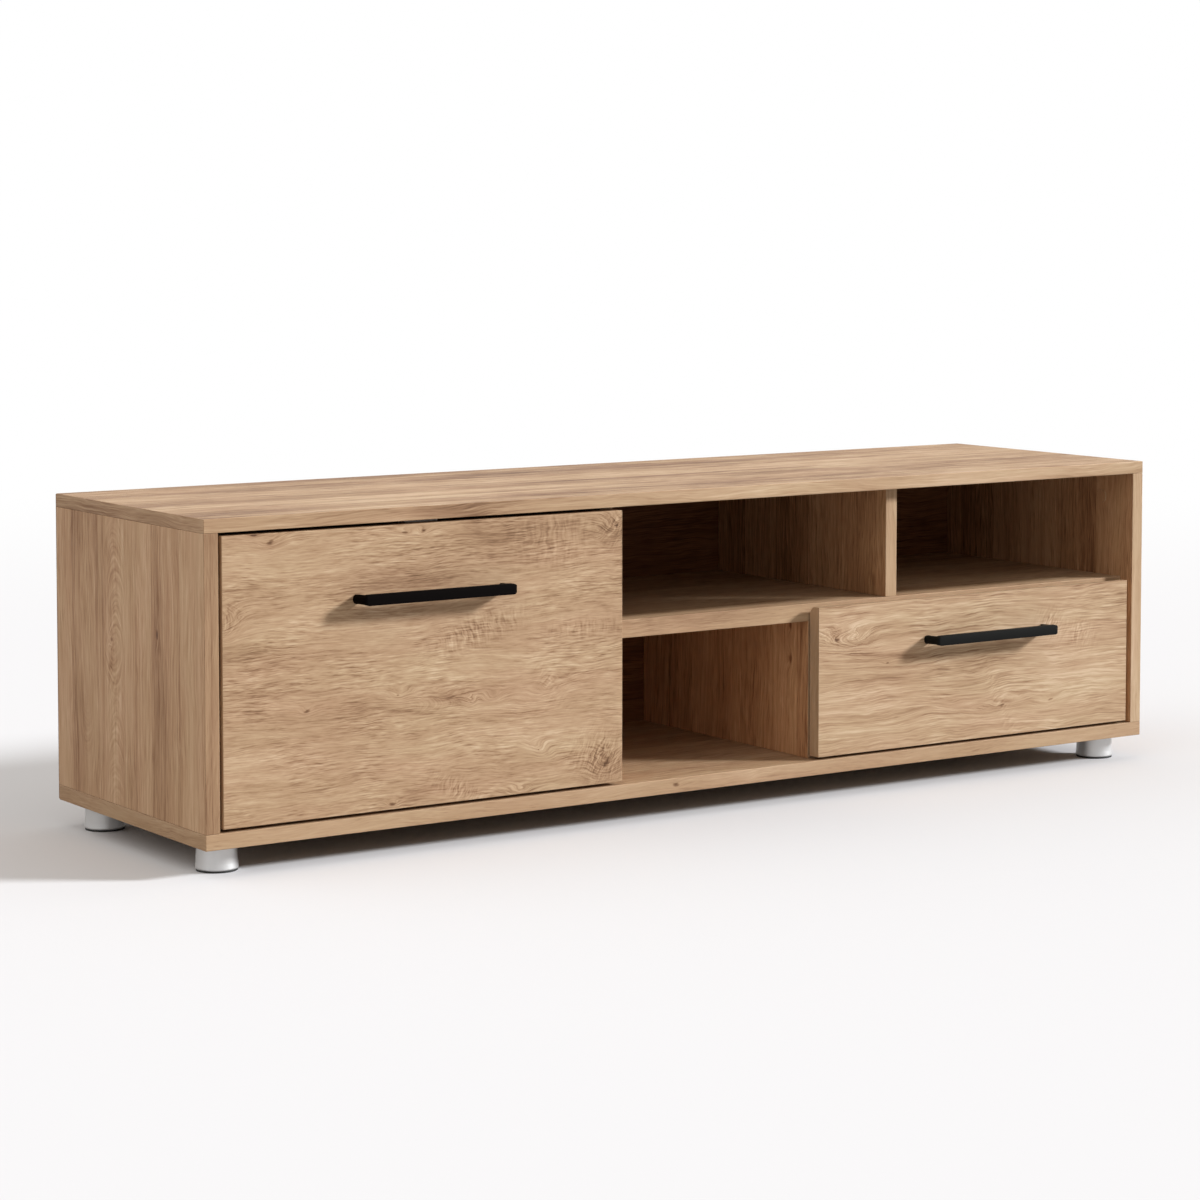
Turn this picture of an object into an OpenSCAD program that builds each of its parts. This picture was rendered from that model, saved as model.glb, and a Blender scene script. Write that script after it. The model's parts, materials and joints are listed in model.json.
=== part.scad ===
// Low television bench: a board carcass on four feet with a drop-down flap on
// the left, open bays in the middle and on the right, and one drawer.
// Millimetres. +X to the right, +Y to the back, +Z up. The origin is on the
// floor, in the middle of the width and of the depth with the handles.
// Places are given as s (from the left end), d (behind the front face of the
// body) and h (above the underside of the body).

/* [Body] */
// Overall width of the body
body_w = 1400; // [1340:10:1480]
// Depth of the body, back panel included
body_d = 383; // [370:1:450]
// Height of the body above its feet
body_h = 368; // [350:1:420]
// Thickness of the sides, dividers and bottom
board_t = 18; // [16:1:20]
// Thickness of the top
top_t = 16; // [16:1:22]
// Thickness of the middle shelf
shelf_t = 22; // [18:1:26]
// Thickness of the back panel
back_t = 3; // [3:0.5:5]
// Inset of the back panel from the outline of the body
back_inset = 1; // [0:0.5:3]

/* [Bays] */
// From the left end to the right face of the left divider
left_part_w = 557; // [520:1:600]
// Clear width of the upper middle bay
upper_bay_w = 420; // [390:1:440]
// Clear width of the drawer bay
drawer_bay_w = 511; // [480:1:540]
// Clear height of the lower bays
lower_bay_h = 173; // [168:1:184]

/* [Fronts] */
// Thickness of the flap and of the drawer front
front_t = 18; // [17:0.5:19]
// Gap between a front and the inner boards behind it
front_setback = 3; // [3:0.5:5]
// Gap between the flap and the left side
flap_gap_side = 4; // [3:0.5:5]
// Gap between the flap and the top
front_gap_top = 4; // [2.5:0.5:5]
// Gap between the fronts and the bottom
front_gap_bottom = 4; // [4:0.5:6]
// Gap between the drawer front and the right side
drawer_gap_side = 8.5; // [3:0.5:9]
// Step from the lower divider's left face to the drawer front's edge
drawer_edge_in = 1; // [0:0.5:4]
// Height of shelf edge left showing above the drawer front
drawer_reveal = 3; // [2:0.5:6]
// Rounding of the drawer front's rear top edge
drawer_round_r = 10; // [4:0.5:12]

/* [Handles] */
// Length of each handle
handle_len = 204; // [160:4:256]
// How far a handle stands out from its front
handle_reach = 28; // [24:1:36]
// Height of the handle bar
handle_h = 12.5; // [9:0.5:14]
// Thickness of the handle bar
handle_bar_t = 7; // [6:0.5:9]
// Radius of the outer bend of a handle
handle_bend_r = 4; // [3:0.5:16]
// How much lower the legs of a handle are than its bar
handle_leg_step = 2; // [1:0.5:3]
// From the flap's top edge down to the middle of its handle
flap_handle_drop = 80; // [60:1:110]
// From the drawer front's top edge down to the middle of its handle
drawer_handle_drop = 52; // [51:0.5:58]
// From the middle of the drawer front to the right, to the middle of its handle
drawer_handle_shift = 12; // [-40:1:40]

/* [Feet] */
// Height of a foot, its pad included
foot_h = 32; // [28:1:60]
// Radius of a foot at its base
foot_base_r = 24.5; // [20:0.5:28]
// Radius of a foot at its top
foot_top_r = 23; // [18:0.5:28]
// From each end of the body to the middle of a foot
foot_inset_s = 38; // [34:1:60]
// From the front and from the back of the body to the middle of a foot
foot_inset_d = 48; // [40:1:60]
// Thickness of the pad under a foot
pad_t = 2; // [1.5:0.5:4]

/* [Flap hinge] */
// From an end of the flap to the middle of its hinge
hinge_inset = 90; // [70:5:120]
// Radius of the hinge cup
cup_r = 17.5; // [16.5:0.5:18]
// From the flap's lower edge up to the middle of the cup
cup_up = 15; // [14:0.5:15]
// Wall of the cup around its pocket
cup_wall = 3; // [2.5:0.5:4]
// Thickness of the cup's floor
cup_floor_t = 0.8; // [0.6:0.1:1.2]
// From the front face in to the hinge pin
pin_in = 8; // [7.5:0.25:8.5]
// From the flap's lower edge up to the hinge pin
pin_up = 7.5; // [7:0.25:8]
// Radius of the hinge pin
pin_r = 1.25; // [1:0.05:1.4]
// Radius of the eye at the end of the hinge arm
eye_r = 2.4; // [2.2:0.1:2.6]
// Width of the hinge arm
arm_w = 11; // [9:0.5:12]
// Length of the hinge arm's foot plate
arm_plate_len = 42; // [36:1:50]
// Width of the hinge arm's foot plate
arm_plate_w = 30; // [28:1:40]
// Thickness of the hinge arm's foot plate
arm_plate_t = 2.5; // [2:0.5:3]

/* [Flap stay] */
// From the hinge pin up to the stay's pivot on the flap
stay_up = 140; // [130:5:150]
// From the flap's inner face back to the stay's pivot
stay_back = 12; // [11:0.5:14]
// Angle from upright of the line from the hinge pin to the swivel block
stay_angle = 50; // [46:1:54]
// Radius of the stay rod
stay_rod_r = 3; // [2.5:0.25:3.5]
// From the left side's inner face to the stay rod
stay_off = 15; // [14:0.5:18]
// Length of the swivel block along the rod
block_len = 22; // [18:1:26]
// Width of the swivel block across the rod
block_w = 16; // [14:1:18]

/* [Drawer] */
// Length of the drawer slides
slide_len = 300; // [280:5:305]
// Height of the drawer slides
slide_h = 45; // [42:1:46]
// Space for one slide between the bay's wall and the drawer box
slide_gap = 13; // [12.8:0.1:14]
// Sheet thickness of the slides
slide_sheet_t = 1.2; // [1:0.1:1.4]
// Travel of the drawer
drawer_travel = 290; // [250:5:290]
// Board thickness of the drawer box
box_t = 12; // [12:1:16]
// Height of the drawer box
box_h = 134; // [128:1:138]
// Length of the drawer box
box_len = 320; // [310:5:330]
// From the bottom board up to the drawer box
box_lift = 14; // [12:1:16]
// Thickness of the drawer's bottom sheet
box_sheet_t = 3; // [3:0.5:4]
// From the box's lower edge up to its bottom sheet
box_sheet_up = 10; // [8:1:12]

/* [Hardware] */
// Play around screws, dowels, bolts and pins in their holes
fit_play = 0.1; // [0.05:0.01:0.15]
// From the front and back edges of the carcass to the outer fittings
fitting_inset = 60; // [56:1:70]
// Radius of a cam lock
cam_r = 7.5; // [6:0.5:8]
// From a cam bolt's middle to the floor of its cam lock
cam_floor = 4.5; // [4.25:0.25:5.5]
// From the board's edge to the middle of a cam lock
cam_reach = 34; // [24:1:34]
// Radius of a cam bolt
bolt_r = 3; // [2.5:0.25:3.25]
// Length of a cam bolt's thread in the board
bolt_thread_len = 10; // [8:0.5:11]
// Radius of a wood dowel
dowel_r = 4; // [3:0.5:4]
// Length of a wood dowel
dowel_len = 30; // [24:1:36]
// Radius of a cover cap
cap_r = 9; // [8.5:0.25:10]
// Thickness of a cover cap
cap_t = 0.8; // [0.6:0.1:1]
// Length of a long assembly screw
long_screw_len = 50; // [40:1:60]
// Length of the screws that hold the fittings' plates
plate_screw_len = 12; // [10:1:13]
// Length of the screws through the drawer box's sides
box_screw_len = 32; // [26:1:38]
// Depth that a foot's screw goes into the bottom
foot_screw_grip = 14; // [10:1:16]
// Depth that the screws from the drawer box go into the drawer front
front_screw_grip = 12; // [8:1:14]
// Length of the screws in the drawer's bottom sheet
sheet_screw_len = 14; // [10:1:20]
// Length of the screws of the inner slides
inner_screw_len = 10; // [8:1:11]
// From the ends of the body to the outer pins of the back panel
pin_inset = 45; // [35:1:60]
// Spacing wished for between the back panel's pins
pin_pitch = 150; // [100:10:200]

/* [Hidden] */
$fn = 64;
eps = 0.5;

// ---- Fasteners: shank radius, head radius, head height ----
SMALL = [1.25, 2.6, 1];
WOOD = [1.75, 3.4, 1.4];
MACHINE = [2, 4, 2];
PLATE = [1.75, 3.2, 0.9];
STRIKE = [1.25, 2.5, 0.6];
long_head_r = 5;
long_head_h = 4;
long_shank_r = 3.25;
post_screw_grip = 10;
back_pin_r = 0.7;
back_pin_len = 16;
back_pin_head_r = 1.75;
back_pin_head_t = 0.6;
dowel_in = 10;
dowel_end_play = 1;
// Steps inwards along a joint from the place of its outer fitting
inner_cam_step = 24;
dowel_step = 48;
inner_dowel_step = 68;
bumper_r = 4.5;
bumper_play = 0.2;

// ---- Frame and carcass ----
left_x = -body_w / 2;
front_y = -(body_d - handle_reach) / 2;
carcass_d = body_d - back_t;
inner_d = front_t + front_setback;
top_h = body_h - top_t;
side_s = body_w - board_t;
left_divider_s = left_part_w - board_t;
upper_divider_s = left_part_w + upper_bay_w;
lower_divider_s = side_s - drawer_bay_w - board_t;
shelf_h = board_t + lower_bay_h;
shelf_top = shelf_h + shelf_t;

// ---- Flap ----
flap_s = board_t + flap_gap_side;
flap_w = left_part_w - flap_s;
flap_h = board_t + front_gap_bottom;
flap_top = top_h - front_gap_top;
flap_mid = flap_s + flap_w / 2;
hinge_places = [flap_s + hinge_inset, flap_s + flap_w - hinge_inset];
pin_h = flap_h + pin_up;
cup_play = 0.3;
cup_floor_d = pin_in - eye_r - cup_play - cup_floor_t;
cup_h = flap_h + cup_up;
slot_w = arm_w + 2;
flange_t = 1;
flange_end_r = 8;
cup_screw_reach = 24;
cup_screw_up = 9.5;
pin_drop = cup_up - pin_up + pin_r;
pin_half = sqrt(cup_r * cup_r - pin_drop * pin_drop) - 0.4;
arm_half_t = 2;
arm_riser_d = inner_d + 2;
arm_riser_t = 6;

// ---- Flap stay: both pivots lie on one circle around the hinge pin ----
stay_s = board_t + stay_off;
stay_r = norm([front_t - pin_in + stay_back, stay_up]);
stay_start = atan2(front_t - pin_in + stay_back, stay_up);
flap_pivot = [pin_in + stay_r * sin(stay_start), pin_h + stay_r * cos(stay_start)];
block_pivot = [pin_in + stay_r * sin(stay_angle), pin_h + stay_r * cos(stay_angle)];
rod_tilt = atan2(block_pivot[1] - flap_pivot[1], block_pivot[0] - flap_pivot[0]);
flap_swing = 90;
stop_len = 8;
stop_r = 5.5;
rod_reach = 2 * stay_r * sin((stay_angle - stay_start + flap_swing) / 2) + block_len / 2 + 0.5;
rod_eye_r = 6;
rod_eye_t = 4;
ear_s = stay_s - rod_eye_t / 2 - 6;
ear_t = 3;
bracket_t = 2;
bracket_w = 26;
bracket_h = 40;
pivot_r = 2.5;
stub_r = 4;
stub_len = 6;
base_t = 2;
base_screw_reach = norm([block_len, block_w]) / 2 + PLATE[1] + 0.5;
base_len = 2 * (base_screw_reach + PLATE[1] + 2);
base_w = 26;
block_s = board_t + base_t + 0.5;
block_end_s = stay_s + stay_rod_r + 3;

// ---- Catch ----
catch_w = 44;
catch_d = 14;
catch_h = 14;
strike_w = 30;
strike_h = 14;
strike_t = 1.2;
strike_top = flap_top - 2;
catch_front = front_t + strike_t + 0.8;

// ---- Drawer ----
bay_s = lower_divider_s + board_t;
drawer_s = lower_divider_s + drawer_edge_in;
drawer_w = side_s - drawer_gap_side - drawer_s;
drawer_top = shelf_top - drawer_reveal;
box_s = bay_s + slide_gap;
box_w = drawer_bay_w - 2 * slide_gap;
box_low = board_t + box_lift;
box_mid = box_low + box_h / 2;
sheet_h = box_low + box_sheet_up;
groove = 6;
sheet_play = 0.2;
slide_d = inner_d + 3;
slide_mid = slide_d + slide_len / 2;

// ---- Slide section, from the bay's wall towards the box ----
ball_r = 1.6;
ball_room = 3.5;
outer_half = slide_h / 2;
middle_half = outer_half - slide_sheet_t - ball_room;
inner_half = middle_half - slide_sheet_t - ball_room;
outer_depth = 9;
middle_x = 4.5;
middle_depth = 6.3;
inner_depth = 6;
cage_t = 0.6;
cage_len = 120;
cage_d = slide_mid - cage_len / 2 + drawer_travel / 16;
ball_count = 7;

// ---- Places ----
module at(s, d, h) translate([left_x + s, front_y + d, foot_h + h]) children();
module board(s, d, h, w, depth, height) at(s, d, h) cube([w, depth, height]);
module pair_mirror() {
    children();
    mirror([1, 0, 0]) children();
}

// A screw seated with its head on the plane z = 0, pointing down
module screw(kind, len) {
    difference() {
        union() {
            translate([0, 0, -len]) cylinder(r = kind[0], h = len);
            cylinder(r = kind[1], h = kind[2]);
        }
        for (turn = [0, 90]) rotate([0, 0, turn])
            translate([-kind[1] * 0.6, -0.3, kind[2] * 0.4]) cube([kind[1] * 1.2, 0.6, kind[2]]);
    }
}
module screw_hole(kind, len) translate([0, 0, -len]) cylinder(r = kind[0] + fit_play, h = len + eps);

// Turns that lay a screw along an axis: its head faces the named way
module head_back() rotate([-90, 0, 0]) children();
module head_front() rotate([90, 0, 0]) children();
module head_right() rotate([0, 90, 0]) children();
module head_left() rotate([0, -90, 0]) children();
module head_down() rotate([180, 0, 0]) children();

// ---- Cam fittings ----
// A fitting is [s, d, h, turn, board thickness]. Its own +Z runs from the
// joint into the board that holds the bolt, and its +X to the cam's open face.
CAM_UP = [0, 0, 0];
CAM_UP_LEFT = [0, 0, 180];
CAM_DOWN = [180, 0, 0];
CAM_TO_LEFT = [180, 90, 0];
CAM_TO_RIGHT = [0, 90, 0];
function both_ends(step) = [fitting_inset + step, carcass_d - fitting_inset - step];
ends = both_ends(0);
ends_in = both_ends(inner_cam_step);
dowel_ends = both_ends(dowel_step);
dowel_ends_in = both_ends(inner_dowel_step);

function row(s, h, places, turn, t) = [for (d = places) [s, d, h, turn, t]];
left_side_cams = row(board_t / 2, top_h, ends, CAM_UP, board_t);
left_divider_cams = row(left_divider_s + board_t / 2, top_h, ends, CAM_UP_LEFT, board_t);
upper_divider_cams = row(upper_divider_s + board_t / 2, top_h, ends, CAM_UP, board_t);
right_side_cams = row(side_s + board_t / 2, top_h, ends, CAM_UP_LEFT, board_t);
upper_foot_cams = row(upper_divider_s + board_t / 2, shelf_top, ends_in, CAM_DOWN, board_t);
lower_top_cams = row(lower_divider_s + board_t / 2, shelf_h, ends, CAM_UP, board_t);
shelf_left_cams = row(left_part_w, shelf_h + shelf_t / 2, ends_in, CAM_TO_LEFT, shelf_t);
shelf_right_cams = row(side_s, shelf_h + shelf_t / 2, ends_in, CAM_TO_RIGHT, shelf_t);
top_cams = concat(left_side_cams, left_divider_cams, upper_divider_cams, right_side_cams);
all_cams = concat(top_cams, upper_foot_cams, lower_top_cams, shelf_left_cams, shelf_right_cams);

left_side_dowels = row(board_t / 2, top_h, dowel_ends, CAM_UP, board_t);
left_divider_dowels = row(left_divider_s + board_t / 2, top_h, dowel_ends, CAM_UP, board_t);
upper_divider_dowels = row(upper_divider_s + board_t / 2, top_h, dowel_ends, CAM_UP, board_t);
right_side_dowels = row(side_s + board_t / 2, top_h, dowel_ends, CAM_UP, board_t);
upper_foot_dowels = row(upper_divider_s + board_t / 2, shelf_top, dowel_ends_in, CAM_DOWN, board_t);
lower_top_dowels = row(lower_divider_s + board_t / 2, shelf_h, dowel_ends, CAM_UP, board_t);
shelf_left_dowels = row(left_part_w, shelf_h + shelf_t / 2, dowel_ends, CAM_TO_LEFT, shelf_t);
shelf_right_dowels = row(side_s, shelf_h + shelf_t / 2, dowel_ends, CAM_TO_RIGHT, shelf_t);
top_dowels = concat(left_side_dowels, left_divider_dowels, upper_divider_dowels, right_side_dowels);
all_dowels = concat(top_dowels, upper_foot_dowels, lower_top_dowels, shelf_left_dowels, shelf_right_dowels);

bottom_joint_s = [board_t / 2, left_divider_s + board_t / 2, lower_divider_s + board_t / 2,
    side_s + board_t / 2];

module each_fitting(list) {
    for (f = list) at(f[0], f[1], f[2]) rotate(f[3]) {
        $fit_t = f[4];
        children();
    }
}
module cam_cuts(list) {
    each_fitting(list) {
        translate([0, 0, -cam_reach]) cylinder(r = bolt_r + fit_play, h = cam_reach + bolt_thread_len);
        translate([-cam_floor, 0, -cam_reach]) head_right()
            cylinder(r = cam_r + fit_play, h = cam_floor + $fit_t / 2 + eps);
    }
}
module dowel_cuts(list) {
    each_fitting(list) translate([0, 0, dowel_in - dowel_len - dowel_end_play])
        cylinder(r = dowel_r + fit_play, h = dowel_len + dowel_end_play);
}
module long_screw_cuts(places) {
    for (s = places, d = ends) at(s, d, 0) {
        translate([0, 0, -eps]) cylinder(r = long_head_r + fit_play, h = long_head_h + eps);
        cylinder(r = long_shank_r + fit_play, h = long_screw_len);
    }
}

// ---- Back panel pins ----
function spread(low, high, pitch) =
    let (n = max(1, round((high - low) / pitch)))
    [for (i = [0 : n]) low + (high - low) * i / n];
rail_pins = spread(pin_inset, body_w - pin_inset, pin_pitch);
top_pins = [for (s = rail_pins) [s, body_h - top_t / 2]];
bottom_pins = [for (s = rail_pins) [s, board_t / 2]];
side_pin_h = spread(board_t + pin_inset, top_h - pin_inset, pin_pitch);
left_pins = [for (h = side_pin_h) [board_t / 2, h]];
right_pins = [for (h = side_pin_h) [side_s + board_t / 2, h]];
divider_pins = [for (h = side_pin_h) [left_divider_s + board_t / 2, h]];
lower_pins = [[lower_divider_s + board_t / 2, shelf_h / 2]];
upper_pins = [[upper_divider_s + board_t / 2, (shelf_top + top_h) / 2]];
shelf_pin_s = spread(left_part_w + pin_inset, side_s - pin_inset, pin_pitch);
shelf_pins = [for (s = shelf_pin_s) [s, shelf_h + shelf_t / 2]];
all_pins = concat(top_pins, bottom_pins, left_pins, right_pins, divider_pins, lower_pins,
    upper_pins, shelf_pins);

module pin_cuts(pins) {
    for (p = pins) at(p[0], body_d - back_pin_len, p[1]) head_back()
        cylinder(r = back_pin_r + fit_play, h = back_pin_len + eps, $fn = 24);
}

// ---- Carcass boards ----
module top_panel() color("burlywood") difference() {
    board(0, 0, top_h, body_w, carcass_d, top_t);
    cam_cuts(top_cams);
    dowel_cuts(top_dowels);
    pin_cuts(top_pins);
    catch_screw_holes();
}
module bottom_panel() color("burlywood") difference() {
    board(0, 0, 0, body_w, carcass_d, board_t);
    long_screw_cuts(bottom_joint_s);
    pin_cuts(bottom_pins);
    foot_screw_holes();
    hinge_arm_screw_holes();
}
module left_side() color("burlywood") difference() {
    board(0, 0, board_t, board_t, carcass_d, top_h - board_t);
    cam_cuts(left_side_cams);
    dowel_cuts(left_side_dowels);
    long_screw_cuts([bottom_joint_s[0]]);
    pin_cuts(left_pins);
    stay_base_screw_holes();
}
module right_side() color("burlywood") difference() {
    board(side_s, 0, board_t, board_t, carcass_d, top_h - board_t);
    cam_cuts(concat(right_side_cams, shelf_right_cams));
    dowel_cuts(concat(right_side_dowels, shelf_right_dowels));
    long_screw_cuts([bottom_joint_s[3]]);
    pin_cuts(right_pins);
    slide_outer_screw_holes();
}
module left_divider() color("burlywood") difference() {
    board(left_divider_s, inner_d, board_t, board_t, carcass_d - inner_d, top_h - board_t);
    cam_cuts(concat(left_divider_cams, shelf_left_cams));
    dowel_cuts(concat(left_divider_dowels, shelf_left_dowels));
    long_screw_cuts([bottom_joint_s[1]]);
    pin_cuts(divider_pins);
}
module middle_shelf() color("burlywood") difference() {
    board(left_part_w, inner_d, shelf_h, side_s - left_part_w, carcass_d - inner_d, shelf_t);
    cam_cuts(concat(shelf_left_cams, shelf_right_cams, upper_foot_cams, lower_top_cams));
    dowel_cuts(concat(shelf_left_dowels, shelf_right_dowels, upper_foot_dowels, lower_top_dowels));
    pin_cuts(shelf_pins);
}
module lower_divider() color("burlywood") difference() {
    board(lower_divider_s, inner_d, board_t, board_t, carcass_d - inner_d, lower_bay_h);
    cam_cuts(lower_top_cams);
    dowel_cuts(lower_top_dowels);
    long_screw_cuts([bottom_joint_s[2]]);
    pin_cuts(lower_pins);
    slide_outer_screw_holes();
}
module upper_divider() color("burlywood") difference() {
    board(upper_divider_s, inner_d, shelf_top, board_t, carcass_d - inner_d, top_h - shelf_top);
    cam_cuts(concat(upper_divider_cams, upper_foot_cams));
    dowel_cuts(concat(upper_divider_dowels, upper_foot_dowels));
    pin_cuts(upper_pins);
}
module back_panel() color("tan") difference() {
    board(back_inset, carcass_d, back_inset, body_w - 2 * back_inset, back_t, body_h - 2 * back_inset);
    pin_cuts(all_pins);
    for (p = all_pins) at(p[0], body_d - back_pin_head_t, p[1]) head_back()
        cylinder(r = back_pin_head_r + fit_play, h = back_pin_head_t + eps, $fn = 24);
}
module back_pins() color("silver") {
    for (p = all_pins) at(p[0], body_d, p[1]) head_back() {
        translate([0, 0, -back_pin_head_t]) cylinder(r = back_pin_head_r, h = back_pin_head_t, $fn = 24);
        translate([0, 0, -back_pin_len]) cylinder(r = back_pin_r, h = back_pin_len, $fn = 24);
    }
}

// ---- Carcass fittings ----
module cam_locks() color("silver") each_fitting(all_cams) {
    translate([0, 0, -cam_reach]) head_right() difference() {
        translate([0, 0, -cam_floor]) cylinder(r = cam_r, h = cam_floor + $fit_t / 2);
        translate([-cam_r - eps, 0, 0]) head_right() cylinder(r = bolt_r + 0.5, h = cam_r + eps + 4);
        for (turn = [0, 90]) rotate([0, 0, turn])
            translate([-cam_r * 0.5, -0.8, $fit_t / 2 - 1.5]) cube([cam_r, 1.6, 2]);
    }
}
module cam_bolts() color("silver") each_fitting(all_cams) {
    neck = 5;
    translate([0, 0, neck - cam_reach]) cylinder(r = bolt_r, h = cam_reach - neck + bolt_thread_len);
    translate([0, 0, 1 - cam_reach]) cylinder(r = bolt_r * 0.6, h = neck - 1);
    translate([0, 0, -2 - cam_reach + 1]) cylinder(r = bolt_r, h = 2);
}
module cam_caps() color("burlywood") each_fitting(all_cams) {
    translate([$fit_t / 2, 0, -cam_reach]) head_right() cylinder(r = cap_r, h = cap_t);
}
module wood_dowels() color("wheat") each_fitting(all_dowels) {
    translate([0, 0, dowel_in - dowel_len]) cylinder(r = dowel_r, h = dowel_len);
}
module long_screws() color("silver") {
    for (s = bottom_joint_s, d = ends) at(s, d, 0) difference() {
        union() {
            cylinder(r = long_head_r, h = long_head_h);
            cylinder(r = long_shank_r, h = long_screw_len);
        }
        translate([0, 0, -eps]) cylinder(r = 2.3, h = 3 + eps, $fn = 6);
    }
}

// ---- Feet ----
foot_s = [foot_inset_s, body_w - foot_inset_s];
foot_d = [foot_inset_d, body_d - foot_inset_d];
foot_web_t = 10;
foot_bore_h = foot_h - foot_web_t;
foot_screw_len = foot_web_t + foot_screw_grip;
module each_foot() for (s = foot_s, d = foot_d) at(s, d, -foot_h) children();
module foot_screw_holes() each_foot() translate([0, 0, foot_h])
    cylinder(r = WOOD[0] + fit_play, h = foot_screw_grip);
module feet() color("silver") each_foot() rotate_extrude() {
    difference() {
        union() {
            polygon([[0, pad_t], [foot_base_r - 2, pad_t], [foot_base_r, pad_t + 2],
                [foot_base_r - 0.6, pad_t + 8], [foot_top_r, foot_h - 2], [foot_top_r, foot_h],
                [0, foot_h]]);
            intersection() {
                translate([foot_base_r - 2, pad_t + 2]) circle(r = 2);
                translate([0, pad_t]) square([foot_base_r, 2]);
            }
        }
        translate([-eps, pad_t - eps]) square([6 + eps, foot_bore_h - pad_t + eps]);
        translate([-eps, 0]) square([WOOD[0] + fit_play + eps, foot_h + eps]);
    }
}
module foot_pads() color("dimgray") each_foot() cylinder(r = foot_base_r - 1, h = pad_t);
module foot_screws() color("silver") each_foot() translate([0, 0, foot_bore_h])
    head_down() screw(WOOD, foot_screw_len);

// ---- Handles ----
post_places = [handle_bar_t / 2, handle_len - handle_bar_t / 2];
// Outline of a bow with rounded outer corners, seen from above
module bow_outline(len, reach, bend_r) {
    translate([bend_r, 0]) square([len - 2 * bend_r, reach]);
    square([len, reach - bend_r]);
    for (x = [bend_r, len - bend_r]) translate([x, reach - bend_r]) circle(r = bend_r);
}
module handle() {
    inner_bend = max(handle_bend_r - handle_bar_t * 0.7, 1);
    end_r = handle_h / 2;
    leg_reach = handle_reach - handle_bar_t;
    difference() {
        intersection() {
            translate([0, 0, -handle_h / 2]) mirror([0, 1, 0])
                linear_extrude(handle_h) bow_outline(handle_len, handle_reach, handle_bend_r);
            union() {
                translate([end_r, -handle_reach - eps, -end_r])
                    cube([handle_len - 2 * end_r, handle_reach + 2 * eps, handle_h]);
                for (x = [end_r, handle_len - end_r]) translate([x, eps, 0]) head_front()
                    cylinder(r = end_r, h = handle_reach + 2 * eps);
            }
        }
        translate([handle_bar_t, eps, -handle_h / 2 - eps]) mirror([0, 1, 0])
            linear_extrude(handle_h + 2 * eps)
                bow_outline(handle_len - 2 * handle_bar_t, leg_reach + eps, inner_bend);
        for (side = [0, 1]) mirror([0, 0, side])
            translate([-eps, -leg_reach, (handle_h - handle_leg_step) / 2])
                cube([handle_len + 2 * eps, leg_reach + eps, handle_leg_step / 2 + eps]);
        for (x = post_places) translate([x, -post_screw_grip, 0]) head_back()
            cylinder(r = MACHINE[0] + fit_play, h = post_screw_grip + eps);
    }
}
flap_handle_s = flap_mid - handle_len / 2;
flap_handle_h = flap_top - flap_handle_drop;
drawer_handle_s = drawer_s + drawer_w / 2 + drawer_handle_shift - handle_len / 2;
drawer_handle_h = drawer_top - drawer_handle_drop;
module flap_handle_places() for (x = post_places) at(flap_handle_s + x, front_t, flap_handle_h)
    head_back() children();
module drawer_handle_places() for (x = post_places)
    at(drawer_handle_s + x, front_t + box_t, drawer_handle_h) head_back() children();
flap_handle_screw_len = front_t + post_screw_grip;
drawer_handle_screw_len = front_t + box_t + post_screw_grip;

// ---- Flap ----
module hinge_slot() {
    room = eye_r + 0.4;
    for (s = hinge_places) at(s - slot_w / 2, pin_in - room, flap_h - eps)
        cube([slot_w, front_t - pin_in + room + eps, pin_up + room + eps]);
}
module flap_panel() color("burlywood") difference() {
    board(flap_s, 0, flap_h, flap_w, front_t, flap_top - flap_h);
    for (s = hinge_places) at(s, cup_floor_d, cup_h) head_back()
        cylinder(r = cup_r + fit_play, h = front_t - cup_floor_d + eps);
    hinge_slot();
    flap_handle_places() screw_hole(MACHINE, front_t + eps);
    cup_screw_places() screw_hole(WOOD, plate_screw_len);
    bracket_screw_places() screw_hole(WOOD, plate_screw_len);
    strike_place() screw_hole(STRIKE, 8);
}
module flap_handle() color("black") at(flap_handle_s, 0, flap_handle_h) handle();
module flap_handle_screws() color("silver") flap_handle_places() screw(MACHINE, flap_handle_screw_len);
module flap_bumpers() color("white") {
    for (h = [flap_h + 40, flap_top - 40]) at(left_divider_s + board_t / 2, front_t, h)
        head_back() cylinder(r = bumper_r, h = front_setback - bumper_play);
}

// ---- Flap hinges ----
module cup_screw_places() for (s = hinge_places, side = [-1, 1])
    at(s + side * cup_screw_reach, front_t, cup_h + cup_screw_up) head_back() children();
module hinge_cups() color("silver") difference() {
    for (s = hinge_places) {
        at(s, cup_floor_d, cup_h) head_back() cylinder(r = cup_r, h = front_t - cup_floor_d + flange_t);
        at(s, front_t, cup_h + cup_screw_up) head_back() {
            translate([-cup_screw_reach, -flange_end_r, 0])
                cube([2 * cup_screw_reach, 2 * flange_end_r, flange_t]);
            for (side = [-1, 1]) translate([side * cup_screw_reach, 0, 0])
                cylinder(r = flange_end_r, h = flange_t);
        }
    }
    for (s = hinge_places) {
        at(s, cup_floor_d + cup_floor_t, cup_h) head_back()
            cylinder(r = cup_r - cup_wall, h = front_t);
        at(s - cup_r - eps, 0, flap_h - cup_r) cube([2 * cup_r + 2 * eps, front_t + 5, cup_r]);
        at(s - cup_r, pin_in, pin_h) head_right() cylinder(r = pin_r + fit_play / 2, h = 2 * cup_r);
    }
    hinge_slot();
    for (s = hinge_places) at(s - slot_w / 2, front_t - eps, flap_h - eps)
        cube([slot_w, 2 * flange_t + 2 * eps, pin_up + eye_r + 0.4 + eps]);
    cup_screw_places() translate([0, 0, flange_t]) screw_hole(WOOD, plate_screw_len);
}
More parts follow.
